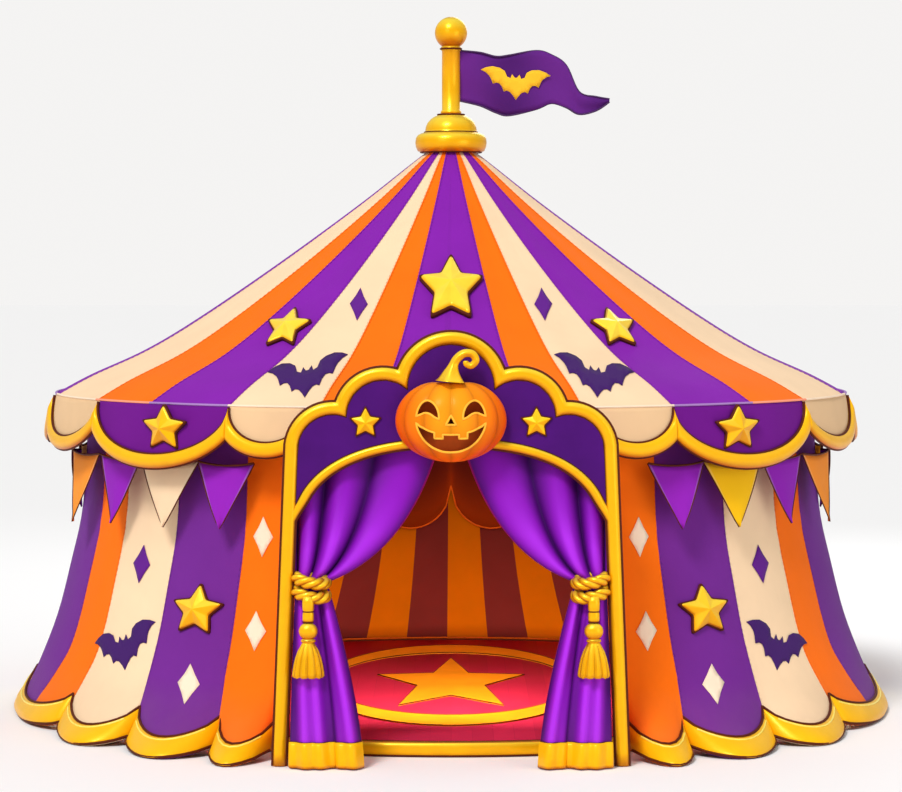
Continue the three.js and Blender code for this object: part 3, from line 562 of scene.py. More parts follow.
def bar_piece(name, bars, material, closed=False):
    """Rounded bars, each a list of rings of points."""
    vertices = []
    faces = []
    for rings in bars:
        faces += ring_faces(len(vertices), len(rings), len(rings[0]), closed)
        vertices += [point for ring in rings for point in ring]
    piece = new_piece(name, vertices, faces, material)
    tidy_shell(piece)
    return piece


def band_piece(name, paths, material, sides=18, square=0.85):
    """Padded bands, each path a list of (inner point, outer point, outward, depth)."""
    rim = [bow(2 * math.pi * k / sides, 2 / square) for k in range(sides)]
    bars = [[[(inner + outer) / 2 + (outer - inner) / 2 * c + out * (depth * s) for c, s in rim]
             for inner, outer, out, depth in path] for path in paths]
    return bar_piece(name, bars, material)


def swept_piece(name, path, half_width, half_depth, material, sides=8, closed=False):
    """An oval bar along a path of (point, outward) pairs."""
    count = len(path)
    rim = [bow(2 * math.pi * k / sides, 2) for k in range(sides)]
    rings = []
    for i, (point, out) in enumerate(path):
        before = path[(i - 1) % count if closed else max(i - 1, 0)][0]
        after = path[(i + 1) % count if closed else min(i + 1, count - 1)][0]
        side = (after - before).normalized().cross(out).normalized()
        rings.append([point + side * (half_width * c) + out * (half_depth * s) for c, s in rim])
    return bar_piece(name, [rings], material, closed)


def joined(name, *pieces):
    """Joins pieces into the first one."""
    with bpy.context.temp_override(active_object=pieces[0], selected_editable_objects=list(pieces)):
        bpy.ops.object.join()
    pieces[0].name = name
    return pieces[0]


def mirrored(piece, name):
    """A copy of a piece on the other side of the doorway's middle."""
    twin = bpy.data.objects.new(name, piece.data.copy())
    bpy.context.scene.collection.objects.link(twin)
    for vertex in twin.data.vertices:
        vertex.co.x = -vertex.co.x
    twin.data.flip_normals()
    for modifier in piece.modifiers:
        if modifier.type == "SOLIDIFY":
            thicken(twin, modifier.thickness, modifier.offset)
    return twin


def fit(piece, slot, *nodes):
    """Hangs a finished piece on the tent in place of its plain solids."""
    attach(piece, "root")
    if nodes:
        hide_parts(*nodes)
    return piece


def cloth_area(piece):
    """Area of one face of the finished cloth."""
    depsgraph = bpy.context.evaluated_depsgraph_get()
    mesh = piece.evaluated_get(depsgraph).data
    share = 0.5 if any(m.type == "SOLIDIFY" for m in piece.modifiers) else 1.0
    return share * sum(face.area for face in mesh.polygons)


def declare_cloth(piece, width, length, held, rests_on, **options):
    """Works out a sheet's area, held between 0.301 and 1 times width by length; the result is not kept."""
    area = min(max(cloth_area(piece), 0.301 * width * length), width * length)
    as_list(rests_on)


def hang(piece, slot, nodes, flat, held, rests_on, offset=-1.0):
    """Thickens a sheet and fits it in place of its solids."""
    thicken(piece, sizes().cloth, offset)
    fit(piece, slot, *nodes)
    declare_cloth(piece, *flat, held, rests_on)


# Trees of geometry nodes


def add_node(tree, kind, inputs=None, **attributes):
    """A node with its attributes set; each input gets a value, a node or a (node, output) pair."""
    node = tree.nodes.new(kind)
    for label, value in attributes.items():
        setattr(node, label, value)
    for socket, value in (inputs or {}).items():
        pair = value if isinstance(value, tuple) else (value, 0)
        if isinstance(pair[0], bpy.types.Node):
            wire(tree, (*pair, node, socket))
        else:
            node.inputs[socket].default_value = value
    return node


def maths(tree, operation, values=None, **attributes):
    return add_node(tree, "ShaderNodeMath", values, operation=operation, **attributes)


def vectors(tree, operation, values=None):
    return add_node(tree, "ShaderNodeVectorMath", values, operation=operation)


def wire(tree, *ways):
    """Links an output to an input for each (node, output, node, input)."""
    for source, given, target, taken in ways:
        tree.links.new(source.outputs[given], target.inputs[taken])


def start_tree(name, kind, inputs, outputs):
    """A tree with (name, kind, default) inputs and (name, kind) outputs; gives the tree and its ends."""
    tree = bpy.data.node_groups.new(name, kind)
    for side, rows in (("INPUT", inputs), ("OUTPUT", outputs)):
        for label, socket_kind, *default in rows:
            socket = tree.interface.new_socket(label, in_out=side, socket_type="NodeSocket" + socket_kind)
            if default:
                socket.default_value = default[0]
    return tree, add_node(tree, "NodeGroupInput"), add_node(tree, "NodeGroupOutput")


def start_growth(name, *inputs):
    """A geometry tree with a path, the named inputs and a material."""
    ends = [("Path", "Geometry"), *inputs, ("Finish", "Material")]
    return start_tree(name, "GeometryNodeTree", ends, [("Geometry", "Geometry")])


def end_growth(tree, given, last, result):
    """Closes a tree with Realize Instances, smooth shading and Set Material."""
    real = add_node(tree, "GeometryNodeRealizeInstances", {0: last})
    shade = add_node(tree, "GeometryNodeSetShadeSmooth", {"Geometry": real})
    finish = add_node(tree, "GeometryNodeSetMaterial", {"Geometry": shade, "Material": (given, "Finish")})
    wire(tree, (finish, 0, result, 0))
    return tree


def piping_tree():
    """A round cord along every path."""
    tree, given, result = start_growth("Piping", ("Radius", "Float", 0.01), ("Sides", "Int", 8))
    curve = add_node(tree, "GeometryNodeMeshToCurve", {"Mesh": (given, "Path")})
    circle = add_node(tree, "GeometryNodeCurvePrimitiveCircle",
                      {"Radius": (given, "Radius"), "Resolution": (given, "Sides")})
    tube = add_node(tree, "GeometryNodeCurveToMesh",
                    {"Fill Caps": True, "Curve": curve, "Profile Curve": circle})
    return end_growth(tree, given, tube, result)


def stitch_tree():
    """Small stitches at an even pitch along every path."""
    tree, given, result = start_growth(
        "Stitches", ("Pitch", "Float", 0.055), ("Length", "Float", 0.028), ("Width", "Float", 0.006))
    curve = add_node(tree, "GeometryNodeMeshToCurve", {"Mesh": (given, "Path")})
    resample = add_node(tree, "GeometryNodeResampleCurve", {"Curve": curve, "Length": (given, "Pitch")},
                        mode="LENGTH")
    tangent = add_node(tree, "GeometryNodeInputTangent")
    align = add_node(tree, "FunctionNodeAlignRotationToVector", {"Vector": tangent}, axis="Z")
    thread = add_node(tree, "GeometryNodeMeshCylinder", {"Vertices": 6, "Radius": 1.0, "Depth": 1.0})
    scale = add_node(tree, "ShaderNodeCombineXYZ",
                     {"X": (given, "Width"), "Y": (given, "Width"), "Z": (given, "Length")})
    place = add_node(tree, "GeometryNodeInstanceOnPoints",
                     {"Points": resample, "Instance": (thread, "Mesh"), "Rotation": align, "Scale": scale})
    return end_growth(tree, given, place, result)


def rope_tree():
    """Laid rope: strands that wind round every path."""
    tree, given, result = start_growth("Laid rope", ("Radius", "Float", 0.04), ("Lay", "Float", 0.18))
    curve = add_node(tree, "GeometryNodeMeshToCurve", {"Mesh": (given, "Path")})
    resample = add_node(tree, "GeometryNodeResampleCurve", {"Length": 0.012, "Curve": curve}, mode="LENGTH")
    along = add_node(tree, "GeometryNodeSplineParameter")
    turns = maths(tree, "DIVIDE", {0: (along, "Length"), 1: (given, "Lay")})
    angle = maths(tree, "MULTIPLY", {0: turns, 1: 2 * math.pi})
    tangent = add_node(tree, "GeometryNodeInputTangent")
    normal = add_node(tree, "GeometryNodeInputNormal")
    third = vectors(tree, "CROSS_PRODUCT", {0: tangent, 1: normal})
    core = maths(tree, "MULTIPLY", {0: (given, "Radius"), 1: 0.5})
    circle = add_node(tree, "GeometryNodeCurvePrimitiveCircle", {"Resolution": 10, "Radius": core})
    join = add_node(tree, "GeometryNodeJoinGeometry")
    for k in range(ROPE_STRANDS):
        phase = maths(tree, "ADD", {0: angle, 1: 2 * math.pi * k / ROPE_STRANDS})
        first = vectors(tree, "SCALE", {0: normal, "Scale": maths(tree, "COSINE", {0: phase})})
        second = vectors(tree, "SCALE", {0: third, "Scale": maths(tree, "SINE", {0: phase})})
        total = vectors(tree, "ADD", {0: first, 1: second})
        reach = vectors(tree, "SCALE", {0: total, "Scale": core})
        move = add_node(tree, "GeometryNodeSetPosition", {"Geometry": resample, "Offset": reach})
        tube = add_node(tree, "GeometryNodeCurveToMesh",
                        {"Fill Caps": True, "Curve": move, "Profile Curve": circle})
        wire(tree, (tube, 0, join, 0))
    return end_growth(tree, given, join, result)


def turned_tree():
    """A turned body: the path, drawn as (radius - 1, -height), carried round the axis."""
    tree, given, result = start_growth("Turned body", ("Segments", "Int", 64))
    curve = add_node(tree, "GeometryNodeMeshToCurve", {"Mesh": (given, "Path")})
    rail = add_node(tree, "GeometryNodeCurvePrimitiveCircle",
                    {"Radius": 1.0, "Resolution": (given, "Segments")})
    body = add_node(tree, "GeometryNodeCurveToMesh", {"Curve": rail, "Profile Curve": curve})
    merge = add_node(tree, "GeometryNodeMergeByDistance", {"Distance": 0.0002, "Geometry": body})
    return end_growth(tree, given, merge, result)


TREES = {"piping": piping_tree, "stitches": stitch_tree, "rope": rope_tree, "turned": turned_tree}


def tree_of(trees, kind):
    """The tree of a kind, which is built when it is first asked for."""
    if callable(trees[kind]):
        trees[kind] = trees[kind]()
    return trees[kind]


def grow(name, kind, paths, finish, closed=False, **values):
    """Runs a tree on paths of points and gives the plain mesh piece."""
    tree = tree_of(TREES, kind)
    vertices = []
    edges = []
    for path in paths:
        first = len(vertices)
        vertices += [tuple(p) for p in path]
        edges += [(first + i, first + i + 1) for i in range(len(path) - 1)]
        if closed:
            edges.append((first + len(path) - 1, first))
    mesh = bpy.data.meshes.new(name)
    mesh.from_pydata(vertices, edges, [])
    piece = bpy.data.objects.new(name, mesh)
    bpy.context.scene.collection.objects.link(piece)
    modifier = piece.modifiers.new("Grow", "NODES")
    modifier.node_group = tree
    chosen = {**values, "Finish": finish}
    for socket in tree.interface.items_tree:
        if socket.in_out == "INPUT" and socket.name in chosen:
            modifier[socket.identifier] = chosen[socket.name]
    evaluated = piece.evaluated_get(bpy.context.evaluated_depsgraph_get())
    built = bpy.data.meshes.new_from_object(evaluated)
    piece.modifiers.clear()
    piece.data = built
    if not built.polygons:
        raise RuntimeError(f"{name} came out empty")
    tidy_shell(piece)
    return piece


def lay_cord(name, paths, slot, radius, material=None, closed=False):
    """A dark cord, or one of another material, along every path."""
    fit(grow(name, "piping", paths, material or finish("binding"), closed, Radius=radius), slot)


def turned_piece(name, outline, finish, segments=64, centre=(0, 0)):
    """A turned body from (radius, height) points, round a vertical line."""
    profile = [(r - 1, -z, 0) for r, z in outline]
    piece = grow(name, "turned", [profile], finish, Segments=segments)
    for vertex in piece.data.vertices:
        vertex.co.x += centre[0]
        vertex.co.y += centre[1]
    return piece


# Shader groups


def start_group(name, inputs, outputs):
    return start_tree(name, "ShaderNodeTree", inputs, outputs)


def weave_group():
    """Plain weave: height of crossing threads at a vector in metres."""
    group, given, result = start_group(
        "Plain weave", [("Vector", "Vector"), ("Threads per metre", "Float", 160.0)],
        [("Height", "Float")])
    scale = vectors(group, "SCALE", {0: (given, "Vector"), "Scale": (given, "Threads per metre")})
    split = add_node(group, "ShaderNodeSeparateXYZ", {0: scale})
    turns = [maths(group, "MULTIPLY", {0: (split, axis), 1: math.pi}) for axis in ("X", "Y")]
    waves = [maths(group, "SINE", {0: turn}) for turn in turns]
    crossing = maths(group, "MULTIPLY", {0: waves[0], 1: waves[1]})
    height = maths(group, "MULTIPLY_ADD", {0: crossing, 1: 0.5, 2: 0.5})
    wire(group, (height, 0, result, "Height"))
    return group


def drift_group():
    """Tone drift: slow lighter and darker patches in a colour."""
    group, given, result = start_group(
        "Tone drift",
        [("Colour", "Color", (1, 1, 1, 1)), ("Vector", "Vector"),
         ("Scale", "Float", 1.5), ("Amount", "Float", 0.12)],
        [("Colour", "Color"), ("Mask", "Float")])
    noise = add_node(group, "ShaderNodeTexNoise", {"Detail": 4.0, "Roughness": 0.55,
                                                   "Vector": (given, "Vector"), "Scale": (given, "Scale")})
    centred = maths(group, "SUBTRACT", {0: noise, 1: 0.5})
    amount = maths(group, "MULTIPLY", {0: centred, 1: (given, "Amount")})
    gain = maths(group, "MULTIPLY_ADD", {0: amount, 1: 2.0, 2: 1.0})
    scaled = vectors(group, "SCALE", {0: (given, "Colour"), "Scale": gain})
    wire(group, (scaled, 0, result, "Colour"), (noise, 0, result, "Mask"))
    return group


def dust_group():
    """Ground dust: a faint dull tint that fades with height above the ground."""
    group, given, result = start_group(
        "Ground dust",
        [("Colour", "Color", (1, 1, 1, 1)), ("Vector", "Vector"),
         ("Dust", "Color", (0.3, 0.2, 0.13, 1)), ("Reach", "Float", 0.6), ("Amount", "Float", 0.3)],
        [("Colour", "Color"), ("Mask", "Float")])
    split = add_node(group, "ShaderNodeSeparateXYZ", {0: (given, "Vector")})
    share = maths(group, "DIVIDE", {0: (split, "Z"), 1: (given, "Reach")})
    fade = maths(group, "SUBTRACT", {0: 1.0, 1: share}, use_clamp=True)
    noise = add_node(group, "ShaderNodeTexNoise", {"Scale": 3.0, "Detail": 5.0, "Vector": (given, "Vector")})
    patchy = maths(group, "MULTIPLY", {0: fade, 1: noise})
    factor = maths(group, "MULTIPLY", {0: patchy, 1: (given, "Amount")}, use_clamp=True)
    mix = add_node(group, "ShaderNodeMix", {0: factor, 6: (given, "Colour"), 7: (given, "Dust")},
                   data_type="RGBA")
    wire(group, (mix, 2, result, "Colour"), (factor, 0, result, "Mask"))
    return group


def gilt_highlight_and_shade_group():
    """Gilt colour with painted shade where the surface faces down and a painted highlight where it faces up.
    """
    group, given, result = start_group(
        "Gilding",
        [("Normal", "Vector"), ("Vector", "Vector"),
         ("Bright", "Color", (1, 0.85, 0.2, 1)), ("Middle", "Color", (0.95, 0.5, 0.01, 1)),
         ("Deep", "Color", (0.6, 0.18, 0.01, 1))],
        [("Colour", "Color"), ("Mask", "Float")])
    split = add_node(group, "ShaderNodeSeparateXYZ", {0: (given, "Normal")})
    noise = add_node(group, "ShaderNodeTexNoise", {"Scale": 7.0, "Detail": 3.0, "Vector": (given, "Vector")})
    sway = maths(group, "MULTIPLY_ADD", {0: noise, 1: 0.25, 2: -0.125})
    facing = maths(group, "ADD", {0: (split, "Z"), 1: sway})
    # Painted highlight towards up-facing gilt, painted shade towards down-facing gilt
    up = add_node(group, "ShaderNodeMapRange", {"From Min": 0.15, "From Max": 0.85, "Value": facing})
    down = add_node(group, "ShaderNodeMapRange", {"From Min": 0.0, "From Max": -0.85, "Value": facing})
    low = add_node(group, "ShaderNodeMix", {0: down, 6: (given, "Middle"), 7: (given, "Deep")},
                   data_type="RGBA")
    high = add_node(group, "ShaderNodeMix", {0: up, 6: (low, 2), 7: (given, "Bright")}, data_type="RGBA")
    wire(group, (high, 2, result, "Colour"), (noise, 0, result, "Mask"))
    return group


def boards_group():
    """Boards: narrow joints between planks that run along Y, and a tone for each plank."""
    group, given, result = start_group(
        "Boards",
        [("Vector", "Vector"), ("Width", "Float", 0.19), ("Joint", "Float", 0.035)],
        [("Joint", "Float"), ("Tone", "Float"), ("Grain", "Float")])
    split = add_node(group, "ShaderNodeSeparateXYZ", {0: (given, "Vector")})
    count = maths(group, "DIVIDE", {0: (split, "X"), 1: (given, "Width")})
    part = maths(group, "FRACT", {0: count})
    index = maths(group, "FLOOR", {0: count})
    joint = maths(group, "LESS_THAN", {0: part, 1: (given, "Joint")})
    tone = add_node(group, "ShaderNodeTexWhiteNoise", {"W": index}, noise_dimensions="1D")
    stretch = vectors(group, "MULTIPLY", {0: (given, "Vector"), 1: (9.0, 0.8, 1.0)})
    grain = add_node(group, "ShaderNodeTexNoise", {"Scale": 6.0, "Detail": 6.0, "Vector": stretch})
    wire(group, (joint, 0, result, "Joint"), (tone, "Value", result, "Tone"), (grain, 0, result, "Grain"))
    return group


GROUPS = {"weave": weave_group, "drift": drift_group, "dust": dust_group, "gilding": gilt_highlight_and_shade_group,
          "boards": boards_group}


def group_node(tree, kind, values=None):
    return add_node(tree, "ShaderNodeGroup", values, node_tree=tree_of(GROUPS, kind))


# Materials


def start_material(name, **shader_values):
    """A material with its shader's own sockets set; gives the material, its tree and the shader."""
    material = bpy.data.materials.new(name)
    material.use_nodes = True
    shader = material.node_tree.nodes["Principled BSDF"]
    for label, value in shader_values.items():
        shader.inputs[label.replace("_", " ")].default_value = value
    return material, material.node_tree, shader


def bump_from(tree, shader, source, output, strength, distance):
    """Lets an output of a node raise the surface by up to a distance."""
    bump = add_node(tree, "ShaderNodeBump",
                    {"Strength": strength, "Distance": distance, "Height": (source, output)})
    wire(tree, (bump, 0, shader, "Normal"))


def coloured_cloth(name, threads=160.0, roughness=0.75, sheen=0.03, drift=0.12, dust=0.25, crease=0.35,
               gloss=0.1):
    """Woven cloth in the colours stored on its own faces; on the curtains, lining, pelmet, flag, eave welt
    and pennants these carry painted highlight and shade.
    """
    material, tree, shader = start_material(name, Roughness=roughness, Sheen_Weight=sheen,
                                            Sheen_Roughness=0.4,
                                            Specular_IOR_Level=gloss)
    dye = add_node(tree, "ShaderNodeAttribute", attribute_name="dye")
    place = add_node(tree, "ShaderNodeTexCoord")
    uv = add_node(tree, "ShaderNodeUVMap", uv_map="Cloth")
    tone = group_node(tree, "drift", {"Scale": 1.3, "Amount": drift, "Colour": (dye, "Color"),
                                      "Vector": (place, "Object")})
    dirt = group_node(tree, "dust",
                      {"Amount": dust, "Colour": (tone, "Colour"), "Vector": (place, "Object")})
    weave = group_node(tree, "weave", {"Threads per metre": threads, "Vector": uv})
    pull = vectors(tree, "MULTIPLY", {0: uv, 1: (5.0, 0.9, 1.0)})
    creases = add_node(tree, "ShaderNodeTexNoise",
                       {"Scale": 2.2, "Detail": 4.0, "Distortion": 0.6, "Vector": pull})
    height = maths(tree, "MULTIPLY_ADD", {0: creases, 1: crease * 8, 2: (weave, "Height")})
    wire(tree, (dirt, "Colour", shader, "Base Color"))
    bump_from(tree, shader, height, 0, 0.5, 0.0016)
    return material


def gilded(name, roughness=0.3, metallic=0.3, coat=0.12, weave=0.0, depth=0.0008, turned=0.35, highlight=None):
    """Gold paint, leaf or cloth, with a painted highlight above, painted shade below and painted edge shade
    where it turns from the tent's outside.
    """
    material, tree, shader = start_material(name, Roughness=roughness, Metallic=metallic, Coat_Weight=coat,
                                            Coat_Roughness=0.12,
                                            Specular_Tint=(1, 0.7, 0.2, 1))
    shade = colours()
    face = add_node(tree, "ShaderNodeNewGeometry")
    place = add_node(tree, "ShaderNodeTexCoord")
    # Painted highlight and painted shade on the gilt by which way its surface faces
    gold = group_node(tree, "gilding", {"Bright": (*(highlight or shade.gilt_painted_highlight), 1),
                                        "Middle": (*shade.gilt, 1), "Deep": (*shade.gilt_painted_shade, 1),
                                        "Normal": (face, "Normal"), "Vector": (place, "Object")})
    tone = group_node(tree, "drift", {"Scale": 5.0, "Amount": 0.1, "Colour": (gold, "Colour"),
                                      "Vector": (place, "Object")})
    # Painted edge shade: the gilt turns dark brown where its surface turns away from the tent's outside;
    # turned sets how far it reaches
    level = vectors(tree, "MULTIPLY", {0: (place, "Object"), 1: (1, 1, 0)})
    out = vectors(tree, "NORMALIZE", {0: level})
    facing = vectors(tree, "DOT_PRODUCT", {0: (face, "Normal"), 1: out})
    either = maths(tree, "ABSOLUTE", {0: (facing, "Value")})
    edge_shade = add_node(tree, "ShaderNodeMapRange",
                       {"From Min": 1 - turned, "From Max": 0.05, "To Max": 0.85, "Value": either})
    rim = add_node(tree, "ShaderNodeMix", {0: edge_shade, 6: (tone, "Colour"), 7: (*paint(168, 78, 4), 1)},
                   data_type="RGBA")
    wire(tree, (rim, 2, shader, "Base Color"))
    if weave:
        threads = group_node(tree, "weave", {"Threads per metre": weave})
        wire(tree, (place, "Object", threads, "Vector"))
        bump_from(tree, shader, threads, "Height", 0.35, depth)
    else:
        beat = add_node(tree, "ShaderNodeTexNoise", {"Scale": 26.0, "Detail": 3.0})
        wire(tree, (place, "Object", beat, "Vector"))
        bump_from(tree, shader, beat, 0, 0.25, depth)
    return material


def plain_finish(name, colour, roughness=0.5, metallic=0.0, scale=9.0, drift=0.25, depth=0.002, **more):
    """Paint, cord or steel with a faint drift of tone and an uneven surface."""
    material, tree, shader = start_material(name, Roughness=roughness, Metallic=metallic, **more)
    place = add_node(tree, "ShaderNodeTexCoord")
    tone = group_node(tree, "drift", {"Colour": (*colour, 1), "Scale": scale, "Amount": drift,
                                      "Vector": (place, "Object")})
    wire(tree, (tone, "Colour", shader, "Base Color"))
    bump_from(tree, shader, tone, "Mask", 0.3, depth)
    return material


def board_paint(name, colour, width, joint_colour, roughness):
    """Painted boards with joints, a tone for each board and grain under the paint."""
    material, tree, shader = start_material(name, Roughness=roughness, Specular_IOR_Level=0.02)
    place = add_node(tree, "ShaderNodeTexCoord")
    boards = group_node(tree, "boards", {"Width": width, "Joint": 0.02, "Vector": (place, "Object")})
    tone = group_node(tree, "drift", {"Colour": (*colour, 1), "Scale": 1.1, "Amount": 0.16,
                                      "Vector": (place, "Object")})
    plank = maths(tree, "MULTIPLY_ADD", {0: (boards, "Tone"), 1: 0.14, 2: 0.93})
    scaled = vectors(tree, "SCALE", {0: (tone, "Colour"), "Scale": plank})
    mix = add_node(tree, "ShaderNodeMix", {0: (boards, "Joint"), 6: scaled, 7: (*joint_colour, 1)},
                   data_type="RGBA")
    flat = maths(tree, "SUBTRACT", {0: 1.0, 1: (boards, "Joint")})
    height = maths(tree, "MULTIPLY_ADD", {0: (boards, "Grain"), 1: 0.25, 2: flat})
    wire(tree, (mix, 2, shader, "Base Color"))
    bump_from(tree, shader, height, 0, 0.25, 0.002)
    return material


def stored_skin(name, roughness, coat):
    """A glossy moulding in the colours stored on it, which carry its painted highlight and painted shade."""
    material, tree, shader = start_material(name, Roughness=roughness, Coat_Weight=coat, Coat_Roughness=0.15,
                                            Specular_IOR_Level=0.25, Specular_Tint=(1, 0.55, 0.15, 1))
    dye = add_node(tree, "ShaderNodeAttribute", attribute_name="dye")
    place = add_node(tree, "ShaderNodeTexCoord")
    tone = group_node(tree, "drift", {"Scale": 6.0, "Amount": 0.1, "Colour": (dye, "Color"),
                                      "Vector": (place, "Object")})
    pores = add_node(tree, "ShaderNodeTexNoise", {"Scale": 60.0, "Detail": 2.0, "Vector": (place, "Object")})
    wire(tree, (tone, "Colour", shader, "Base Color"))
    bump_from(tree, shader, pores, 0, 0.2, 0.001)
    return material


def make_finishes():
    shade = colours()
    return {
        "canvas": coloured_cloth("Striped canvas"),
        "valance": coloured_cloth("Valance cloth", threads=220.0, dust=0.0, crease=0.2),
        "bunting": coloured_cloth("Bunting cloth", threads=260.0, dust=0.0, crease=0.15),
        "satin": coloured_cloth("Curtain satin", threads=420.0, roughness=0.5, drift=0.06, dust=0.1, crease=0.2),
        "lining": coloured_cloth("Striped lining", threads=180.0, roughness=0.85, drift=0.18, dust=0.0,
                             gloss=0.0),
        "flag": coloured_cloth("Flag cloth", threads=240.0, dust=0.0, crease=0.2),
        "patch": coloured_cloth("Sewn patches", threads=240.0, dust=0.0, crease=0.1),
        # turned sets how far each gilt finish's painted edge shade reaches; highlight gives the padded gold
        # cloth its own painted highlight colour
        "gilt": gilded("Gilt metal"),
        "leaf": gilded("Gilt stars", roughness=0.3, metallic=0.08, coat=0.06, turned=0.8),
        "gold_cloth": gilded("Padded gold cloth", roughness=0.36, metallic=0.08, coat=0.05, weave=260.0,
                             turned=0.72,
                              highlight=paint(250, 192, 18)),
        "gold_rope": gilded("Gold rope", roughness=0.3, metallic=0.3, coat=0.15, weave=420.0, turned=0.2),
        "inlay": plain_finish("Gold floor paint", paint(242, 152, 26), roughness=0.6, scale=2.0, drift=0.3,
                              depth=0.0006,
                              Specular_IOR_Level=0.02),
        "binding": plain_finish("Dark binding cord", shade.binding, roughness=0.6, scale=30.0,
                                Specular_IOR_Level=0.15),
        "thread": plain_finish("Sewing thread", paint(250, 214, 150), roughness=0.7, scale=40.0),
        "dark_thread": plain_finish("Dark sewing thread", paint(64, 22, 84), roughness=0.7, scale=40.0),
        "board": plain_finish("Head board paint", shade.board, roughness=0.6, scale=2.5, drift=0.3,
                              depth=0.0006,
                              Specular_IOR_Level=0.08),
        "deck": board_paint("Crimson boards", shade.floor, 0.19, paint(168, 34, 66), 0.5),
        "steel": plain_finish("Painted steel", paint(96, 36, 110), roughness=0.4, metallic=0.2, scale=14.0),
        "pumpkin": stored_skin("Pumpkin skin", 0.38, 0.03),
        "cut_edge": plain_finish("Pumpkin cut edge", paint(255, 184, 60), roughness=0.5,
                                 Specular_IOR_Level=0.05),
        # The inside of the carved openings is darker than the cut edge: painted shade in the hollows
        "hollow": plain_finish("Pumpkin hollow", paint(196, 88, 26), roughness=0.7, scale=3.0, drift=0.7,
                               Specular_IOR_Level=0.15),
    }


FINISHES = {}


def finish(name):
    if not FINISHES:
        FINISHES.update(make_finishes())
    return FINISHES[name]


# Sewn patches and stars

BAT_HALF = [(0, 0.15), (0.04, 0.16), (0.105, 0.25), (0.15, 0.13), (0.25, 0.17), (0.31, 0.32), (0.45, 0.4),
            (0.66, 0.43), (0.85, 0.38), (1, 0.3), (0.87, 0.25), (0.76, 0.16), (0.71, 0.08), (0.65, -0.07),
            (0.56, -0.03), (0.47, -0.04), (0.4, -0.12), (0.34, -0.27), (0.26, -0.23), (0.17, -0.26),
            (0.08, -0.36), (0, -0.48)]
DIAMOND = [(0, 0.5), (0.5, 0), (0, -0.5), (-0.5, 0)]


def turned_outline(points, width, height, spin):
    """An outline scaled and turned by spin degrees."""
    c, s = math.cos(math.radians(spin)), math.sin(math.radians(spin))
    return [(x * width * c - y * height * s, x * width * s + y * height * c) for x, y in points]


def bat_outline(width, slope, tall=1.0):
    """A bat with its wings raised, whose wings climb to the right by slope while its body hangs upright."""
    half = BAT_HALF[1:-1]
    rim = [BAT_HALF[0], *half, BAT_HALF[-1], *[(-x, y) for x, y in reversed(half)]]
    return [(x * width / 2, (y * tall + x * slope) * width / 2) for x, y in rim]


def diamond_outline(width, height, spin=0.0):
    """A lozenge with slightly hollow sides."""
    rim = []
    for (x0, y0), (x1, y1) in zip(DIAMOND, DIAMOND[1:] + DIAMOND[:1]):
        rim += [(x0, y0), ((x0 + x1) / 2 * 0.94, (y0 + y1) / 2 * 0.94)]
    return turned_outline(rim, width, height, spin)


def on_wall(azimuth, z, lean=0.0):
    """Carries a flat outline onto the wall round a place; its foot leans towards the middle of the view."""
    radius = wall_radius(azimuth, z)
    a = azimuth % 360
    lean *= -1 if a % 180 > 90 else 1
    return lambda x, y, lift: wall_at(azimuth + math.degrees((x + lean * y) / radius), z + y, lift)


def on_roof(azimuth, radius):
    """Carries a flat outline onto the roof, upright as seen from the doorway's side."""
    x0 = radius * math.sin(math.radians(azimuth))
    z0 = height_at(ROOF_CURVE, radius)
    side = -1 if math.cos(math.radians(azimuth)) >= 0 else 1

    def place(x, y, lift):
        r = radius_at(ROOF_CURVE, z0 + y)
        along = x0 - side * x
        depth = math.sqrt(max(r * r - along * along, 0.0))
        a = math.degrees(math.atan2(along, -side * depth))
        return roof_at(a, r, lift)

    return place


def patch_mesh(outline, place, lift, cell=0.07):
    """Vertices, faces and flat places of an outline that is filled, cut small and carried onto a surface."""
    shape = bmesh.new()
    ring = [shape.verts.new((x, y, 0)) for x, y in outline]
    face = shape.faces.new(ring)
    bmesh.ops.triangulate(shape, faces=[face])
    for _ in range(4):
        long_edges = [e for e in shape.edges if e.calc_length() > cell]
        if not long_edges:
            break
        bmesh.ops.subdivide_edges(shape, edges=long_edges, cuts=1, use_grid_fill=False)
        bmesh.ops.triangulate(shape, faces=[f for f in shape.faces if len(f.verts) > 3])
    shape.verts.index_update()
    flat = [(v.co.x, v.co.y) for v in shape.verts]
    vertices = [place(x, y, lift) for x, y in flat]
    faces = [tuple(v.index for v in f.verts) for f in shape.faces]
    shape.free()
    return vertices, faces, flat


def sew_patches(name, patches, colour, slot, cloth="patch", lift=PATCH_LIFT):
    """One piece of patches of one colour: an outline, the place that carries it, its way out if given."""
    vertices = []
    faces = []
    uv = []
    for outline, place, *way in patches:
        points, cells, flat = patch_mesh(outline, place, lift)
        first = len(vertices)
        middle = sum(points, Vector()) / len(points)
        a, b, c = (points[i] for i in cells[0])
        out = way[0] if way else Vector((middle.x, middle.y, 1.5))
        turned = (b - a).cross(c - a).dot(out) < 0
        vertices += points
        faces += [tuple(first + i for i in (reversed(cell) if turned else cell)) for cell in cells]
        uv += flat
    piece = new_piece(name, vertices, faces, finish(cloth))
    lay_out(piece, uv)
    colour_faces(piece, lambda _: colour)
    thicken(piece, PATCH_T)
    fit(piece, slot)
    side = math.sqrt(cloth_area(piece) * 1.6)
    declare_cloth(piece, side, side, "stretched", [slot])


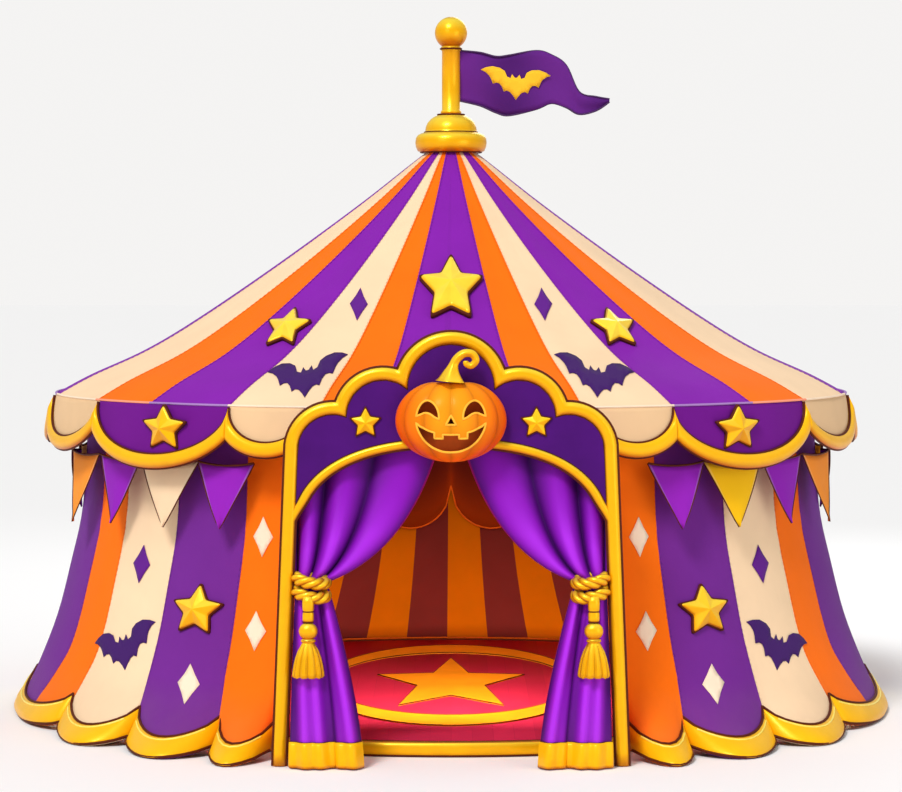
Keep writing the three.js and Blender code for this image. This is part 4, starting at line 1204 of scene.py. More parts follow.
def rounded_star(radius, notch=0.51):
    """Outline of a five-pointed star with rounded tips, as (x, y)."""
    corners = []
    for i in range(10):
        turn = math.radians(i * 36)
        r = radius * (notch if i % 2 else 1.0)
        corners.append(Vector((r * math.sin(turn), r * math.cos(turn))))
    rim = []
    for i, corner in enumerate(corners):
        before, after = corners[i - 1], corners[(i + 1) % 10]
        cut = 0.12 if i % 2 else 0.22
        first, last = corner.lerp(before, cut), corner.lerp(after, cut)
        for k in range(5):
            t = k / 4
            rim.append(first * (1 - t) ** 2 + corner * (2 * t * (1 - t)) + last * t * t)
    return [(p.x, p.y) for p in rim]


# Roof stars: node, x, height, radius, lean and how squat
ROOF_STARS = [("roof_star_right", 1.523, 3.755, 0.213, -0.32, 0.85),
              ("roof_star_left", -1.523, 3.755, 0.213, 0.32, 0.85),
              ("roof_star_front", 0, 4.115, 0.312, 0, 1)]
# Cream diamonds on the wall: azimuth, height, width, length and lean
CREAM_DIAMONDS = [(27.4, 1.905, 0.21, 0.36, 0.05), (26.9, 1.075, 0.22, 0.35, 0.1),
                  (35.7, 0.585, 0.26, 0.33, 0.28),
                  (152.6, 1.905, 0.21, 0.36, 0.05), (144.3, 0.585, 0.26, 0.33, 0.28),
                  (180, 1.6, 0.3, 0.42, 0)]
# Levels of a star from its rim to its middle: share of its radius, and height as a share of its edge
STAR_LEVELS = [(1.0, 0.0), (1.0, 0.4), (0.985, 0.7), (0.93, 0.98), (0.86, 1.1), (0.6, 1.45), (0.3, 1.85),
               (0.08, 2.15)]
STAR_EDGE = 0.036
STAR_PEAK = 2.2
STAR_BACKING = 0.021


def star_piece(name, place, size, *nodes):
    """A gilt star with a rounded rim and a softly raised middle, on a dark backing."""
    edge = STAR_EDGE * size / 0.2
    rim = rounded_star(size)
    count = len(rim)
    vertices = [place(x * s, y * s, h * edge) for s, h in STAR_LEVELS for x, y in rim]
    faces = ring_faces(0, len(STAR_LEVELS), count, capped=False)
    top = (len(STAR_LEVELS) - 1) * count
    peak = len(vertices)
    vertices += [place(0, 0, STAR_PEAK * edge), place(0, 0, 0.0)]
    for k in range(count):
        n = (k + 1) % count
        faces += [(top + k, top + n, peak), (n, k, peak + 1)]
    star = new_piece(name, vertices, faces, finish("leaf"))
    tidy_shell(star)
    sides = (-0.004, 0.62 * edge)
    layers = [place(x, y, h) for h in sides for x, y in rounded_star(size + STAR_BACKING)]
    faces = ring_faces(0, 2, count, capped=False)
    for first, h in zip((0, count), sides):
        faces += [(first + k, first + (k + 1) % count, len(layers)) for k in range(count)]
        layers.append(place(0, 0, h))
    backing = new_piece(name + "_backing", layers, faces, finish("binding"))
    tidy_shell(backing)
    fit(star, "gilt_metal", *nodes)
    fit(backing, "gilt_metal")


def node_star_place(node):
    """Where a flat star's solid stands: carries (x, y, out) onto its plane."""
    points = [Vector(v.co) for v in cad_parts[node].data.vertices]
    middle = sum(points, Vector()) / len(points)
    radius = math.hypot(middle.x, middle.y)
    widen = radius / abs(middle.y)
    right = Vector((-middle.y, middle.x, 0)) / radius
    out = Vector((middle.x, middle.y, 0)) / radius
    if node.startswith("wall"):
        lean = math.radians(14)
        out = (out * math.cos(lean) + Vector((0, 0, math.sin(lean)))).normalized()
    up = out.cross(right).normalized()
    if up.z < 0:
        up = -up
    origin = middle - out * max((p - middle).dot(out) for p in points) * 0.45
    back = min((p - origin).dot(out) for p in points)
    origin += out * back
    return lambda x, y, h: origin + right * (x * widen) + up * y + out * h


# Operators


class TENT_OT_stage(bpy.types.Operator):
    """Set up the camera, the pale floor and the soft studio light"""

    bl_idname = "tent.stage"
    bl_label = "Stage"

    def execute(self, context):
        scene = context.scene
        camera = bpy.data.objects.new("Camera", bpy.data.cameras.new("Camera"))
        camera.data.lens = CAMERA_LENS
        camera.data.sensor_width = 36
        camera.data.clip_end = 400
        camera.location = CAMERA_AT
        camera.rotation_euler = (math.radians(90 - CAMERA_DIP), 0, 0)
        scene.collection.objects.link(camera)
        scene.camera = camera
        corners = [(x, y, -0.004) for x, y in ((-300, -300), (300, -300), (300, 300), (-300, 300))]
        pale = plain_finish("Pale floor", (0.94, 0.94, 0.94), roughness=0.95, drift=0.0, depth=0.0001,
                            Specular_IOR_Level=0.1)
        floor = new_piece("stage_floor", corners, [(0, 1, 2, 3)], pale)
        world = bpy.data.worlds.new("Studio")
        scene.world = world
        world.use_nodes = True
        sky = world.node_tree.nodes["Background"]
        sky.inputs["Color"].default_value = (1, 0.99, 0.98, 1)
        seen = add_node(world.node_tree, "ShaderNodeLightPath")
        strength = maths(world.node_tree, "MULTIPLY_ADD", {0: (seen, "Is Camera Ray"), 1: 0.41, 2: 0.5})
        wire(world.node_tree, (strength, 0, sky, "Strength"))
        for name, kind, place, size, power, target, tint in LIGHTS:
            lamp = bpy.data.objects.new(name, bpy.data.lights.new(name, kind))
            setattr(lamp.data, "size" if kind == "AREA" else "angle", size)
            lamp.data.energy = power
            lamp.data.color = tint
            lamp.location = place
            lamp.rotation_euler = (Vector(target) - Vector(place)).to_track_quat("-Z", "Y").to_euler()
            scene.collection.objects.link(lamp)
        scene.view_settings.view_transform = "Standard"
        return {"FINISHED"}


def stripe_dye(azimuth, stripes, dyes):
    return dyes[stripes[stripe_of(azimuth, stripes, 1)][2]]


def seam_dyes(azimuth, stripes, dyes):
    """The dyes of the two stripes that meet at an azimuth."""
    return [stripe_dye(azimuth + side, stripes, dyes) for side in (-0.4, 0.4)]


def dye_stripes(piece, turns, rows, stripes, dyes):
    """Dyes a sheet's columns, which start at the turns, by the stripes that hold their middles."""
    middles = [(a + b) / 2 for a, b in pairwise([*turns, turns[0] + 360])]
    colour_faces(piece, lambda i: stripe_dye(middles[i // rows], stripes, dyes))


def roof_edge(azimuth, radius):
    """An azimuth at the eave, moved with the roof's stripes to where they stand at a radius."""
    start = ROOF_CURVE[0][0]
    low, top = [s[1] for s in ROOF_STRIPES], [s[0] for s in ROOF_STRIPES]
    return leaned(azimuth, low, top, 1 - (radius - start) / (EAVE_R - start))


def sew_seams(part, paths, stitches, tones):
    """A felled seam along every path, with a row of stitches on either side of it in that side's dye."""
    seams = []
    for i, (path, pair) in enumerate(zip(paths, tones)):
        pieces = [(swept_piece(f"{part}_seam_{i}", path, sizes().seam / 2, SEAM_RISE, finish("canvas"), 6),
                   min(pair, key=sum), 0.94)]
        for k, tone in enumerate(pair):
            sewn = grow(f"{part}_stitches_{i}_{k}", "stitches", [stitches[2 * i + k]], finish("canvas"),
                        Pitch=sizes().stitch_pitch, Length=sizes().stitch, Width=0.0015)
            pieces.append((sewn, tone, 0.8))
        for piece, tone, share in pieces:
            colour_faces(piece, lambda _: [c * share for c in tone])
            seams.append(piece)
    fit(joined(part + "_seams", *seams), part + "_canvas")


class TENT_OT_roof(bpy.types.Operator):
    """Stretch the striped roof canvas from the crown to the eave, with its seams and stitches"""

    bl_idname = "tent.roof"
    bl_label = "Roof canvas"

    def execute(self, context):
        shade = colours()
        dyes = {"purple": shade.roof_purple, "orange": shade.orange, "cream": shade.cream}
        edges = [s[1] for s in ROOF_STRIPES]
        turns = columns(0, 360, whole_turn(edges), sizes().column)[:-1]
        grid = [[roof_at(roof_edge(a, r), r) for r, _ in ROOF_CURVE] for a in turns]
        roof = sheet_from("roof_canvas", grid, finish("canvas"), turned=True, closed=True)
        dye_stripes(roof, turns, len(ROOF_CURVE) - 1, ROOF_STRIPES, dyes)
        hang(roof, "roof_canvas", [f"roof_gore_{i}" for i in range(1, 9)], (9.5, 9.2), "stretched",
             ["crown_hub", "eave_ring"])
        self.seams(whole_turn(edges[:-1]), dyes)
        self.welt(dyes)
        return {"FINISHED"}

    def seams(self, edges, dyes):
        """Felled seams between the stripes, each with a line of stitches on either side."""
        paths = []
        stitches = []
        for azimuth in edges:
            line = [(roof_edge(azimuth, r), r) for r, _ in ROOF_CURVE[3:]]
            paths.append([(roof_at(a, r, 0.001), (outward(a) * 0.5 + Vector((0, 0, 0.85))).normalized())
                          for a, r in line])
            for side in (-1, 1):
                shift = side * sizes().seam
                stitches.append([roof_at(a + math.degrees(shift / r), r, 0.0025) for a, r in line])
        sew_seams("roof", paths, stitches, [seam_dyes(a, ROOF_STRIPES, dyes) for a in edges])

    def welt(self, dyes):
        """A rounded fold of the roof's own stripes along the eave, in lightened stripe colours as a painted
        highlight.
        """
        turns = columns(0, 360, whole_turn([s[1] for s in ROOF_STRIPES]), 1.5)[:-1]
        path = [(polar(a, EAVE_R + 0.01, EAVE_Z + 0.004), outward(a)) for a in turns]
        welt = swept_piece("eave_welt", path, *WELT, finish("canvas"), closed=True)
        # The stripes' colours lightened: a painted highlight along the fold
        lighter = {name: tuple(0.8 * c + 0.2 for c in dye) for name, dye in dyes.items()}
        middles = [face.center for face in welt.data.polygons]
        azimuths = [math.degrees(math.atan2(middle.x, -middle.y)) for middle in middles]
        colour_faces(welt, lambda i: stripe_dye(azimuths[i], ROOF_STRIPES, lighter))
        fit(welt, "roof_canvas")


class TENT_OT_crown(bpy.types.Operator):
    """Turn the gilt crown cap, the flag pole and its ball"""

    bl_idname = "tent.crown"
    bl_label = "Crown, pole and ball"

    def execute(self, context):
        cap = [(0, 5.4693), (0.29, 5.4693), (0.332, 5.485), (0.35, 5.525), (0.356, 5.57), (0.35, 5.615),
               (0.33, 5.645), (0.3, 5.66), (0.272, 5.668), (0.258, 5.678), (0.256, 5.7), (0.25, 5.73),
               (0.232, 5.77), (0.2, 5.805), (0.165, 5.828), (0.135, 5.84), (0.128, 5.85), (0.122, 5.858),
               (0, 5.858)]
        fit(turned_piece("crown_cap_gilt", cap, finish("gilt")), "gilt_metal", "crown_cap")
        low, high = 5.8583, 6.498
        pole = [(0, low), (0.1, low), (0.104, low + 0.012), (0.1, low + 0.026), (POLE_R, low + 0.034),
                (0.091, (low + high) / 2), (POLE_R, high - 0.02), (0.096, high - 0.012), (0.096, high),
                (0, high)]
        fit(turned_piece("flag_pole_gilt", pole, finish("gilt")), "gilt_metal", "flag_pole")
        ball = [(0, 6.4983), (0.09, 6.4983), (0.1, 6.507), (0.098, 6.522)]
        for k in range(4, 25):
            turn = math.radians(-90 + k * 7.5)
            ball.append((max(0.161 * math.cos(turn), 0), 6.66 + 0.161 * math.sin(turn)))
        ball[-1] = (0, 6.821)
        fit(turned_piece("pole_ball_gilt", ball, finish("gilt")), "gilt_metal", "pole_ball")
        rings = [[polar(a * 6, r, z) for a in range(60)] for r, z in CROWN_CORDS]
        lay_cord("crown_binding", rings, "gilt_metal", 0.009, closed=True)
        for node in ("crown_hub", "eave_ring"):
            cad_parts[node].data.materials.clear()
            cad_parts[node].data.materials.append(finish("steel"))
        return {"FINISHED"}


class TENT_OT_flag(bpy.types.Operator):
    """Cut the waving pennant flag with its sewn bat"""

    bl_idname = "tent.flag"
    bl_label = "Flag"

    def wave(self, x):
        return FLAG_WAVE * math.sin((x - POLE_R) * math.pi / FLAG_FOLD)

    def bat_place(self, side):
        """Carries a flat outline onto one side of the flag."""
        x0, z0 = FLAG_BAT
        return lambda x, y, lift: Vector((x0 + x, self.wave(x0 + x) + side * lift, z0 + y))

    def execute(self, context):
        self.line = smooth_line(FLAG_STATIONS, 6)
        rows = 10
        grid = []
        shade_by_column = []
        for x, top, low in self.line:
            grid.append([Vector((x, self.wave(x) + 0.012 * math.sin(6 * k / rows + 5 * x),
                                 low + (top - low) * k / rows))
                         for k in range(rows + 1)])
            shade_by_column.append(0.5 + 0.5 * math.cos((x - POLE_R) * math.pi / FLAG_FOLD))
        cloth = sheet_from("flag_cloth", grid, finish("flag"))
        # Painted light and shade: the highlight and dark colours alternate along the flag's waves by
        # shade_by_column
        highlight, dark = paint(106, 39, 138), paint(76, 25, 106)
        tones = [tuple(dark[c] + (highlight[c] - dark[c]) * s for c in range(3)) for s in shade_by_column]
        colour_points(cloth, [tones[i // (rows + 1)] for i in range(len(cloth.data.vertices))])
        thicken(cloth, sizes().cloth, 0.0)
        fit(cloth, "flag_cloth", "flag")
        edge = [[Vector((x, self.wave(x), z)) for x, z in rim] for rim in (
            [(x, top) for x, top, _ in self.line], [(x, low) for x, _, low in self.line])]
        lay_cord("flag_hem", edge, "flag_cloth", 0.009, finish("dark_thread"))
        bat = bat_outline(0.7, -0.1)
        bats = [(bat, self.bat_place(side), Vector((0, side, 0))) for side in (-1, 1)]
        sew_patches("flag_bat", bats, paint(252, 192, 44), "flag_cloth", "flag", 0.014)
        declare_cloth(cloth, 1.62, 0.66, "hung", ["flag_pole_gilt"])
        return {"FINISHED"}


class TENT_OT_walls(bpy.types.Operator):
    """Hang the striped wall canvas with its seams and padded gold hem"""

    bl_idname = "tent.walls"
    bl_label = "Wall canvas"

    def execute(self, context):
        shade = colours()
        dyes = {"purple": shade.purple, "orange": shade.orange, "cream": shade.cream}
        top = [DOOR_EDGE, *[s[0] for s in WALL_STRIPES]]
        low = [DOOR_EDGE, *[s[1] for s in WALL_STRIPES]]
        turns = columns(DOOR_EDGE, 360 - DOOR_EDGE, whole_turn([*low[:-1], *HEM_LOBES]), sizes().column)
        heights = [0.06, 0.14, 0.24, 0.35, 0.48, 0.62, 0.8, *[1 + 0.25 * k for k in range(8)], WALL_TOP]

        def edge(azimuth, z):
            return leaned(azimuth, low, top, min(max((z - 0.2) / 0.5, 0), 1))

        def column(azimuth):
            foot, hem_top = hem_levels(azimuth)
            zs = [foot + (hem_top - foot) * k / 4 for k in range(5)]
            zs += [hem_top + (WALL_TOP - hem_top) * (h - heights[0]) / (WALL_TOP - heights[0])
                   for h in heights[1:]]
            return [wall_at(edge(azimuth, z), z) for z in zs]

        grid = [column(a) for a in turns]
        wall = sheet_from("wall_canvas", grid, finish("canvas"))
        dye_stripes(wall, turns, len(grid[0]) - 1, WALL_STRIPES, dyes)
        panels = [f"wall_{side}_{i}" for side in ("right", "left") for i in range(1, 5)]
        hang(wall, "wall_canvas", ["wall_back", *panels], (24.0, 3.1), "hung", ["eave_ring"])
        self.seams(low, edge, dyes)
        self.hem()
        return {"FINISHED"}

    def seams(self, low, edge, dyes):
        levels = [0.3 + 0.12 * k for k in range(23)]
        paths = []
        stitches = []
        edges = whole_turn(low[1:-1])
        for azimuth in edges:
            paths.append([(wall_at(edge(azimuth, z), z, 0.001), outward(edge(azimuth, z))) for z in levels])
            for side in (-1, 1):
                shift = side * math.degrees(sizes().seam / 3.8)
                stitches.append([wall_at(edge(azimuth, z) + shift, z, 0.0015) for z in levels])
        sew_seams("wall", paths, stitches, [seam_dyes(a, WALL_STRIPES, dyes) for a in edges])

    def hem(self):
        """Padded gold lobes round the wall's foot, bound above and below with dark cord, with a light gold
        cord below the top as a painted highlight.
        """
        lobes = [*pairwise(HEM_LOBES), *[(360 - b, 360 - a) for a, b in pairwise(HEM_LOBES[:-1])]]
        rim = [(math.cos(t), bow(t, 2.5)[1])
               for t in (2 * math.pi * k / HEM_SIDES for k in range(HEM_SIDES))]
        bars = []
        binding = []
        highlight_cords = []
        for start, end in lobes:
            steps = max(8, math.ceil((end - start) / 1.2))
            bar = []
            upper = []
            lower = []
            shine = []
            for i in range(steps + 1):
                a = start + (end - start) * (0.002 + 0.996 * i / steps)
                foot, top = hem_levels(a)
                foot += 0.003
                middle, half = (foot + top) / 2, (top - foot) / 2
                puff = HEM_PUFF[0] + HEM_PUFF[1] * lobe_at(a)
                bar.append([wall_at(a, middle + half * s, (puff if c > 0 else HEM_PUFF[0]) * c + 0.004)
                            for c, s in rim])
                upper.append(wall_at(a, top, 0.016))
                shine.append(wall_at(a, middle + 0.76 * half, 0.7 * puff + 0.004))
                lower.append(wall_at(a, foot + 0.012, 0.024))
            bars.append(bar)
            binding += [upper, lower]
            highlight_cords.append(shine[1:-1])
        hem = bar_piece("wall_hem", bars, finish("gold_cloth"))
        fit(hem, "wall_canvas")
        lay_cord("wall_hem_binding", binding, "wall_canvas", sizes().piping)
        # A light gold cord along the upper puff of each lobe: a painted highlight
        highlight = plain_finish("Painted highlight cord", paint(255, 232, 96), roughness=0.35, scale=20.0)
        lay_cord("wall_hem_highlight_cord", highlight_cords, "wall_canvas", 0.009, highlight)


def scallop_point(scallop, turn, share):
    """A point of a scallop's edging, from its inner edge at share 0 to its outer edge at share 1."""
    start, end, bottom, _ = scallop
    middle, half = (start + end) / 2, (end - start) / 2
    top = EAVE_Z - 0.012
    wide = half + math.degrees(EDGING_WIDTH * share / VALANCE_R)
    deep = top - bottom - EDGING_WIDTH * (1 - share)
    c, s = bow(turn, 2)
    along = min(max(-wide * c, -half), half)
    drop = math.sqrt(max(0.0, 1 - (along / wide) ** 2)) if abs(along) == half else s
    if abs(along) == half:
        drop = min(drop, s * 1.6)
    z = top - deep * drop
    return middle + along, z


class TENT_OT_valance(bpy.types.Operator):
    """Hang the scalloped valance with its padded gold edging"""

    bl_idname = "tent.valance"
    bl_label = "Valance"

    def execute(self, context):
        shade = colours()
        dyes = {"purple": shade.valance_purple, "cream": shade.valance_cream}
        left = [(360 - b, 360 - a, low, dye) for a, b, low, dye in reversed(SCALLOPS)]
        ring = [*SCALLOPS, BACK_SCALLOP, *left]
        start, end = VALANCE_START, 360 - VALANCE_START
        turns = columns(start, end, [edge for scallop in ring for edge in scallop[:2]], 0.9)
        rows = 8

        def low_edge(azimuth):
            a, b, bottom, _ = next(s for s in ring if s[0] - 1e-9 <= azimuth <= s[1] + 1e-9)
            top = EAVE_Z - 0.012
            wide = (b - a) / 2 + math.degrees(EDGING_WIDTH / 2 / VALANCE_R)
            t = abs(azimuth - (a + b) / 2) / wide
            return top - (top - bottom - EDGING_WIDTH / 2) * math.sqrt(1 - t * t)

        grid = []
        for a in turns:
            low = low_edge(a)
            grid.append([polar(a, valance_radius(z), z)
                         for z in (low + (EAVE_Z - low) * k / rows for k in range(rows + 1))])
        cloth = sheet_from("valance_cloth", grid, finish("valance"))
        middles = [(a + b) / 2 for a, b in pairwise(turns)]
        dye_of = [next(s[3] for s in ring if s[0] <= m <= s[1]) for m in middles]
        colour_faces(cloth, lambda i: dyes[dye_of[i // rows]])
        parts = ["valance_" + part for part in ("right_front", "left_front", "right_back", "left_back",
                                                "back")]
        hang(cloth, "valance_cloth", parts, (22.5, 0.6), "hung", ["eave_ring", "roof_canvas"])
        self.edging(ring, start, end)
        return {"FINISHED"}

    def edging(self, ring, start, end):
        paths = []
        binding = []
        steps = 52
        for scallop in ring:
            path = []
            inner_rim = []
            outer_rim = []
            for k in range(steps + 1):
                turn = math.pi * k / steps
                (a0, z0), (a1, z1) = scallop_point(scallop, turn, 0), scallop_point(scallop, turn, 1)
                if not start < (a0 + a1) / 2 < end:
                    continue
                inner = polar(a0, valance_radius(z0) + 0.014, z0)
                outer = polar(a1, valance_radius(z1) + 0.014, z1)
                width = (outer - inner).length
                path.append((inner, outer, outward((a0 + a1) / 2), 0.012 + 0.036 * min(1, width / 0.1)))
                inner_rim.append(polar(a0, valance_radius(z0) + 0.016, z0))
                outer_rim.append(polar(a1, valance_radius(z1) + 0.016, z1))
            paths.append(path)
            binding += [inner_rim, outer_rim]
        edging = band_piece("valance_edging", paths, finish("gold_cloth"), sides=16)
        fit(edging, "valance_cloth")
        lay_cord("valance_binding", binding, "valance_cloth", sizes().piping)


def bunting_radius(azimuth, drop):
    tuck = min(1, max(0, (azimuth - BUNTING_ENDS[4]) / 5.86))
    return BUNTING_R + BUNTING_LEAN * drop * (1 - tuck) - BUNTING_TUCK * tuck


class TENT_OT_bunting(bpy.types.Operator):
    """String the pennants under the valance"""

    bl_idname = "tent.bunting"
    bl_label = "Bunting"

    def execute(self, context):
        shade = colours()
        violet, amber = paint(146, 34, 184), paint(255, 152, 48)
        for side, name, second in ((1, "right", paint(254, 196, 20)), (-1, "left", shade.cream)):
            tones = (violet, second, violet, amber)
            vertices = []
            faces = []
            face_tones = []
            uv = []
            for i in range(BUNTING_COUNT):
                self.pennant(side, i, tones[i % len(tones)], vertices, faces, face_tones, uv)
            cloth = new_piece("bunting_cloth_" + name, vertices, faces, finish("bunting"))
            lay_out(cloth, uv)
            colour_faces(cloth, lambda i: face_tones[i])
            thicken(cloth, sizes().cloth)
            node = "bunting_" + name
            fit(cloth, "bunting_cloth", node)
            declare_cloth(cloth, 9.9, 0.6, "hung", ["eave_ring"])
            lay_cord(node + "_string", [self.string(side)], "bunting_cloth", 0.009)
            width = PENNANT_ACROSS + 1
            count = len(vertices) // BUNTING_COUNT
            rims = []
            for i in range(BUNTING_COUNT):
                cells = vertices[i * count:(i + 1) * count]
                rims.append([*cells[-width::-width], *cells[1:width], *cells[2 * width - 1::width]][:-1])
            lay_cord(node + "_edge", rims, "bunting_cloth", 0.006, closed=True)
        return {"FINISHED"}

    def string(self, side):
        """The tape's cord, which hangs a little between two pennants' ends."""
        line = []
        for i, (low, high) in enumerate(pairwise(BUNTING_ENDS)):
            for k in range(8 if i < BUNTING_COUNT - 1 else 9):
                a = low + (high - low) * (k / 8)
                z = BUNTING_TAPE + 0.006 - BUNTING_SAG * (1 - (k / 4 - 1) ** 2)
                line.append(polar(side * a, bunting_radius(a, 0) + 0.01, z))
        return line

    def pennant(self, side, i, tone, vertices, faces, face_tones, uv):
        """Adds one pennant as a grid that narrows to its tip, lighter along its two sides as a painted
        highlight.
        """
        across, down = PENNANT_ACROSS, 9
        middle = (BUNTING_ENDS[i] + BUNTING_ENDS[i + 1]) / 2
        half = (BUNTING_ENDS[i + 1] - BUNTING_ENDS[i]) * 0.498
        tip = BUNTING_TIP - (BUNTING_DROPS[i] if i < len(BUNTING_DROPS) else 0)
        first = len(vertices)
        rim = 0.06
        spots = [0, rim, *[rim + (1 - 2 * rim) * k / (across - 2) for k in range(1, across - 2)], 1 - rim, 1]
        drops = [0, *[k / down * 0.9 for k in range(1, down)], 0.9, 1.0]
        for drop in drops:
            for spot in spots:
                u = 2 * spot - 1
                a = middle + u * half * (1 - drop) ** 0.95
                top = BUNTING_TAPE - BUNTING_SAG * (1 - u * u)
                z = top + (tip - top) * drop
                flutter = 0.018 * math.sin(3 * drop + i * 1.7) * drop + 0.012 * math.sin(2.5 * u + i)
                flutter *= 1 if i < 4 else 0.3
                vertices.append(polar(side * a, bunting_radius(a, drop) + flutter, z))
                uv.append((a * 0.066, z))
        width = len(spots)
        # Painted highlight: the strips along the pennant's sides are lighter
        lighter = tuple(0.92 * c + 0.08 for c in tone)
        for cell in grid_faces(first, len(drops), width):
            faces.append(cell if side < 0 else cell[::-1])
            face_tones.append(lighter if (cell[0] - first) % width in (0, width - 2) else tone)


class TENT_OT_floor(bpy.types.Operator):
    """Lay the crimson boards, the gilt rim and the painted ring and star"""

    bl_idname = "tent.floor"
    bl_label = "Ring floor"

    def execute(self, context):
        centre = (0, FLOOR_Y)
        deck = [(0, 0), (FLOOR_R, 0), (FLOOR_R, FLOOR_TOP - 0.006), (FLOOR_R - 0.006, FLOOR_TOP),
                (0, FLOOR_TOP)]
        fit(turned_piece("floor_boards", deck, finish("deck"), 128, centre), "deck_wood", "floor_deck")
        inner, outer = FLOOR_R + 0.001, FLOOR_R + 0.06
        rim = [(inner, 0.002), (outer - 0.006, 0.002), (outer + 0.002, 0.012), (outer + 0.006, 0.04),
               (outer + 0.006, 0.08), (outer + 0.002, 0.108), (outer - 0.006, 0.119), (outer - 0.02, 0.124),
               (inner - 0.02, 0.1265), (inner - 0.02, 0.1205), (inner, 0.1205), (inner, 0.002)]
        fit(turned_piece("floor_rim_gilt", rim, finish("gilt"), 128, centre), "gilt_metal", "floor_rim")
        aside = Vector((0, FLOOR_Y, 0))
        edges = ((outer + 0.004, 0.008), (inner - 0.02, 0.125))
        lines = [[polar(360 * t / 128, r, z) + aside for t in range(128)] for r, z in edges]
        lay_cord("floor_rim_binding", lines, "gilt_metal", 0.008, closed=True)
        self.inlay("floor_ring_gilt", [self.oval(*RING_OUTER), self.oval(*RING_INNER)], "floor_ring")
        half = STAR_INLAY[1:-1]
        star = [STAR_INLAY[0], *half, STAR_INLAY[-1], *[(-x, y) for x, y in reversed(half)]]
        self.inlay("floor_star_gilt", [star], "floor_star")
        ovals = [[Vector((x, y, FLOOR_TOP + INLAY_T)) for x, y in self.oval(*size)]
                 for size in (RING_OUTER, RING_INNER)]
        star_rim = [Vector((x, y, FLOOR_TOP + INLAY_T)) for x, y in star]
        lay_cord("floor_inlay_binding", [*ovals, star_rim], "inlay_paint", 0.005, closed=True)
        return {"FINISHED"}

    def oval(self, half, reach):
        return [(half * math.sin(t * math.pi / 48), RING_Y - reach * math.cos(t * math.pi / 48))
                for t in range(96)]

    def inlay(self, name, rims, node):
        """A thin painted plate between an outer rim and an optional hole."""
        low, high = FLOOR_TOP + 0.0003, FLOOR_TOP + INLAY_T
        vertices = []
        faces = []
        for rim in rims:
            faces += ring_faces(len(vertices), 2, len(rim), capped=False)
            vertices += [Vector((x, y, z)) for z in (low, high) for x, y in rim]
        count = len(rims[0])
        if len(rims) == 2:
            for level in (0, count):
                faces += [(level + k, level + (k + 1) % count, 2 * count + level + (k + 1) % count,
                           2 * count + level + k)
                          for k in range(count)]
        else:
            for level, z in ((0, low), (count, high)):
                centre = len(vertices)
                vertices.append(Vector((0, 0.1, z)))
                faces += [(level + k, level + (k + 1) % count, centre) for k in range(count)]
        piece = new_piece(name, vertices, faces, finish("inlay"), smooth=False)
        tidy_shell(piece)
        fit(piece, "inlay_paint", node)


class TENT_OT_inside(bpy.types.Operator):
    """Hang the striped lining and the scalloped pelmet inside"""

    bl_idname = "tent.inside"
    bl_label = "Lining and pelmet"

    def execute(self, context):
        shade = colours()
        edges = [LINING_MIDDLE + LINING_STRIPE * k for k in range(-24, 25)]
        turns = columns(24, 336, edges, 1.6)
        heights = [0.05, 0.3, 0.6, 0.9, 1.2, 1.5, 1.8, 2.1, 2.4, 2.7, 2.985]
        grid = [[polar(self.narrowed(a, z), radius_at(WALL_CURVE, z) - 0.03 - LINING_GAP, z)
                 for z in heights] for a in turns]
        lining = sheet_from("lining_cloth", grid, finish("lining"))
        rows = len(heights) - 1

        def tone(face, vertex):
            a = (turns[face // rows] + turns[face // rows + 1]) / 2
            stripe = math.floor((LINING_MIDDLE - a) / LINING_STRIPE)
            base = shade.lining_orange if stripe % 2 == 0 else shade.lining_maroon
            # Painted shade: the lining darkens as it rises
            dim = 1 - 0.72 * min(max((heights[vertex % (rows + 1)] - 0.3) / 1.5, 0), 1) ** 0.8
            return [c * dim for c in base]

        colour_corners(lining, tone)
        hang(lining, "lining_cloth", ["lining"], (21.6, 2.95), "hung", ["eave_ring"], 0.0)
        steps = 16
        grid = []
        rims = []
        for s in range(PELMET_COUNT):
            rim = []
            for k in range(steps + 1):
                t = 2 * k / steps - 1
                low = PELMET_NOTCH - (PELMET_NOTCH - PELMET_LOW) * math.sqrt(max(0, 1 - t * t))
                a = PELMET_FIRST + (s + k / steps) * PELMET_PITCH
                if s == 0 or k:
                    grid.append([polar(a, PELMET_R, low + (2.98 - low) * j / 8) for j in range(9)])
                rim.append(polar(a, PELMET_R - 0.006, low))
            rims.append(rim)
        pelmet = sheet_from("pelmet_cloth", grid, finish("lining"))
        # Painted shade: the pelmet is near black at the top and lighter towards its scalloped foot
        upper, lower = paint(44, 6, 16), paint(130, 46, 8)
        shares = [(1 - j / 8) ** 3 for j in range(9)]
        colour_corners(pelmet, lambda _, v: [a + (b - a) * shares[v % 9] for a, b in zip(upper, lower)])
        hang(pelmet, "pelmet_cloth", ["inner_pelmet"], (7.2, 1.55), "hung", ["eave_ring"], 0.0)
        edge = plain_finish("Pelmet cord", paint(196, 84, 10), roughness=0.7, scale=30.0,
                            Specular_IOR_Level=0.1)
        lay_cord("pelmet_edge", rims, "pelmet_cloth", 0.009, edge)
        skirting = [polar(a, radius_at(WALL_CURVE, 0.15) - 0.03 - LINING_GAP - 0.02, 0.135)
                    for a in columns(24, 336, [], 2)]
        lay_cord("lining_edge", [skirting], "lining_cloth", 0.01, edge)
        return {"FINISHED"}

    def narrowed(self, azimuth, z):
        """The azimuth of a stripe's edge, which draws in towards the middle as it rises."""
        aside = (azimuth - 180) / LINING_HALF
        return azimuth - LINING_HALF * aside * LINING_LEAN * z * max(0.0, 1 - aside * aside)


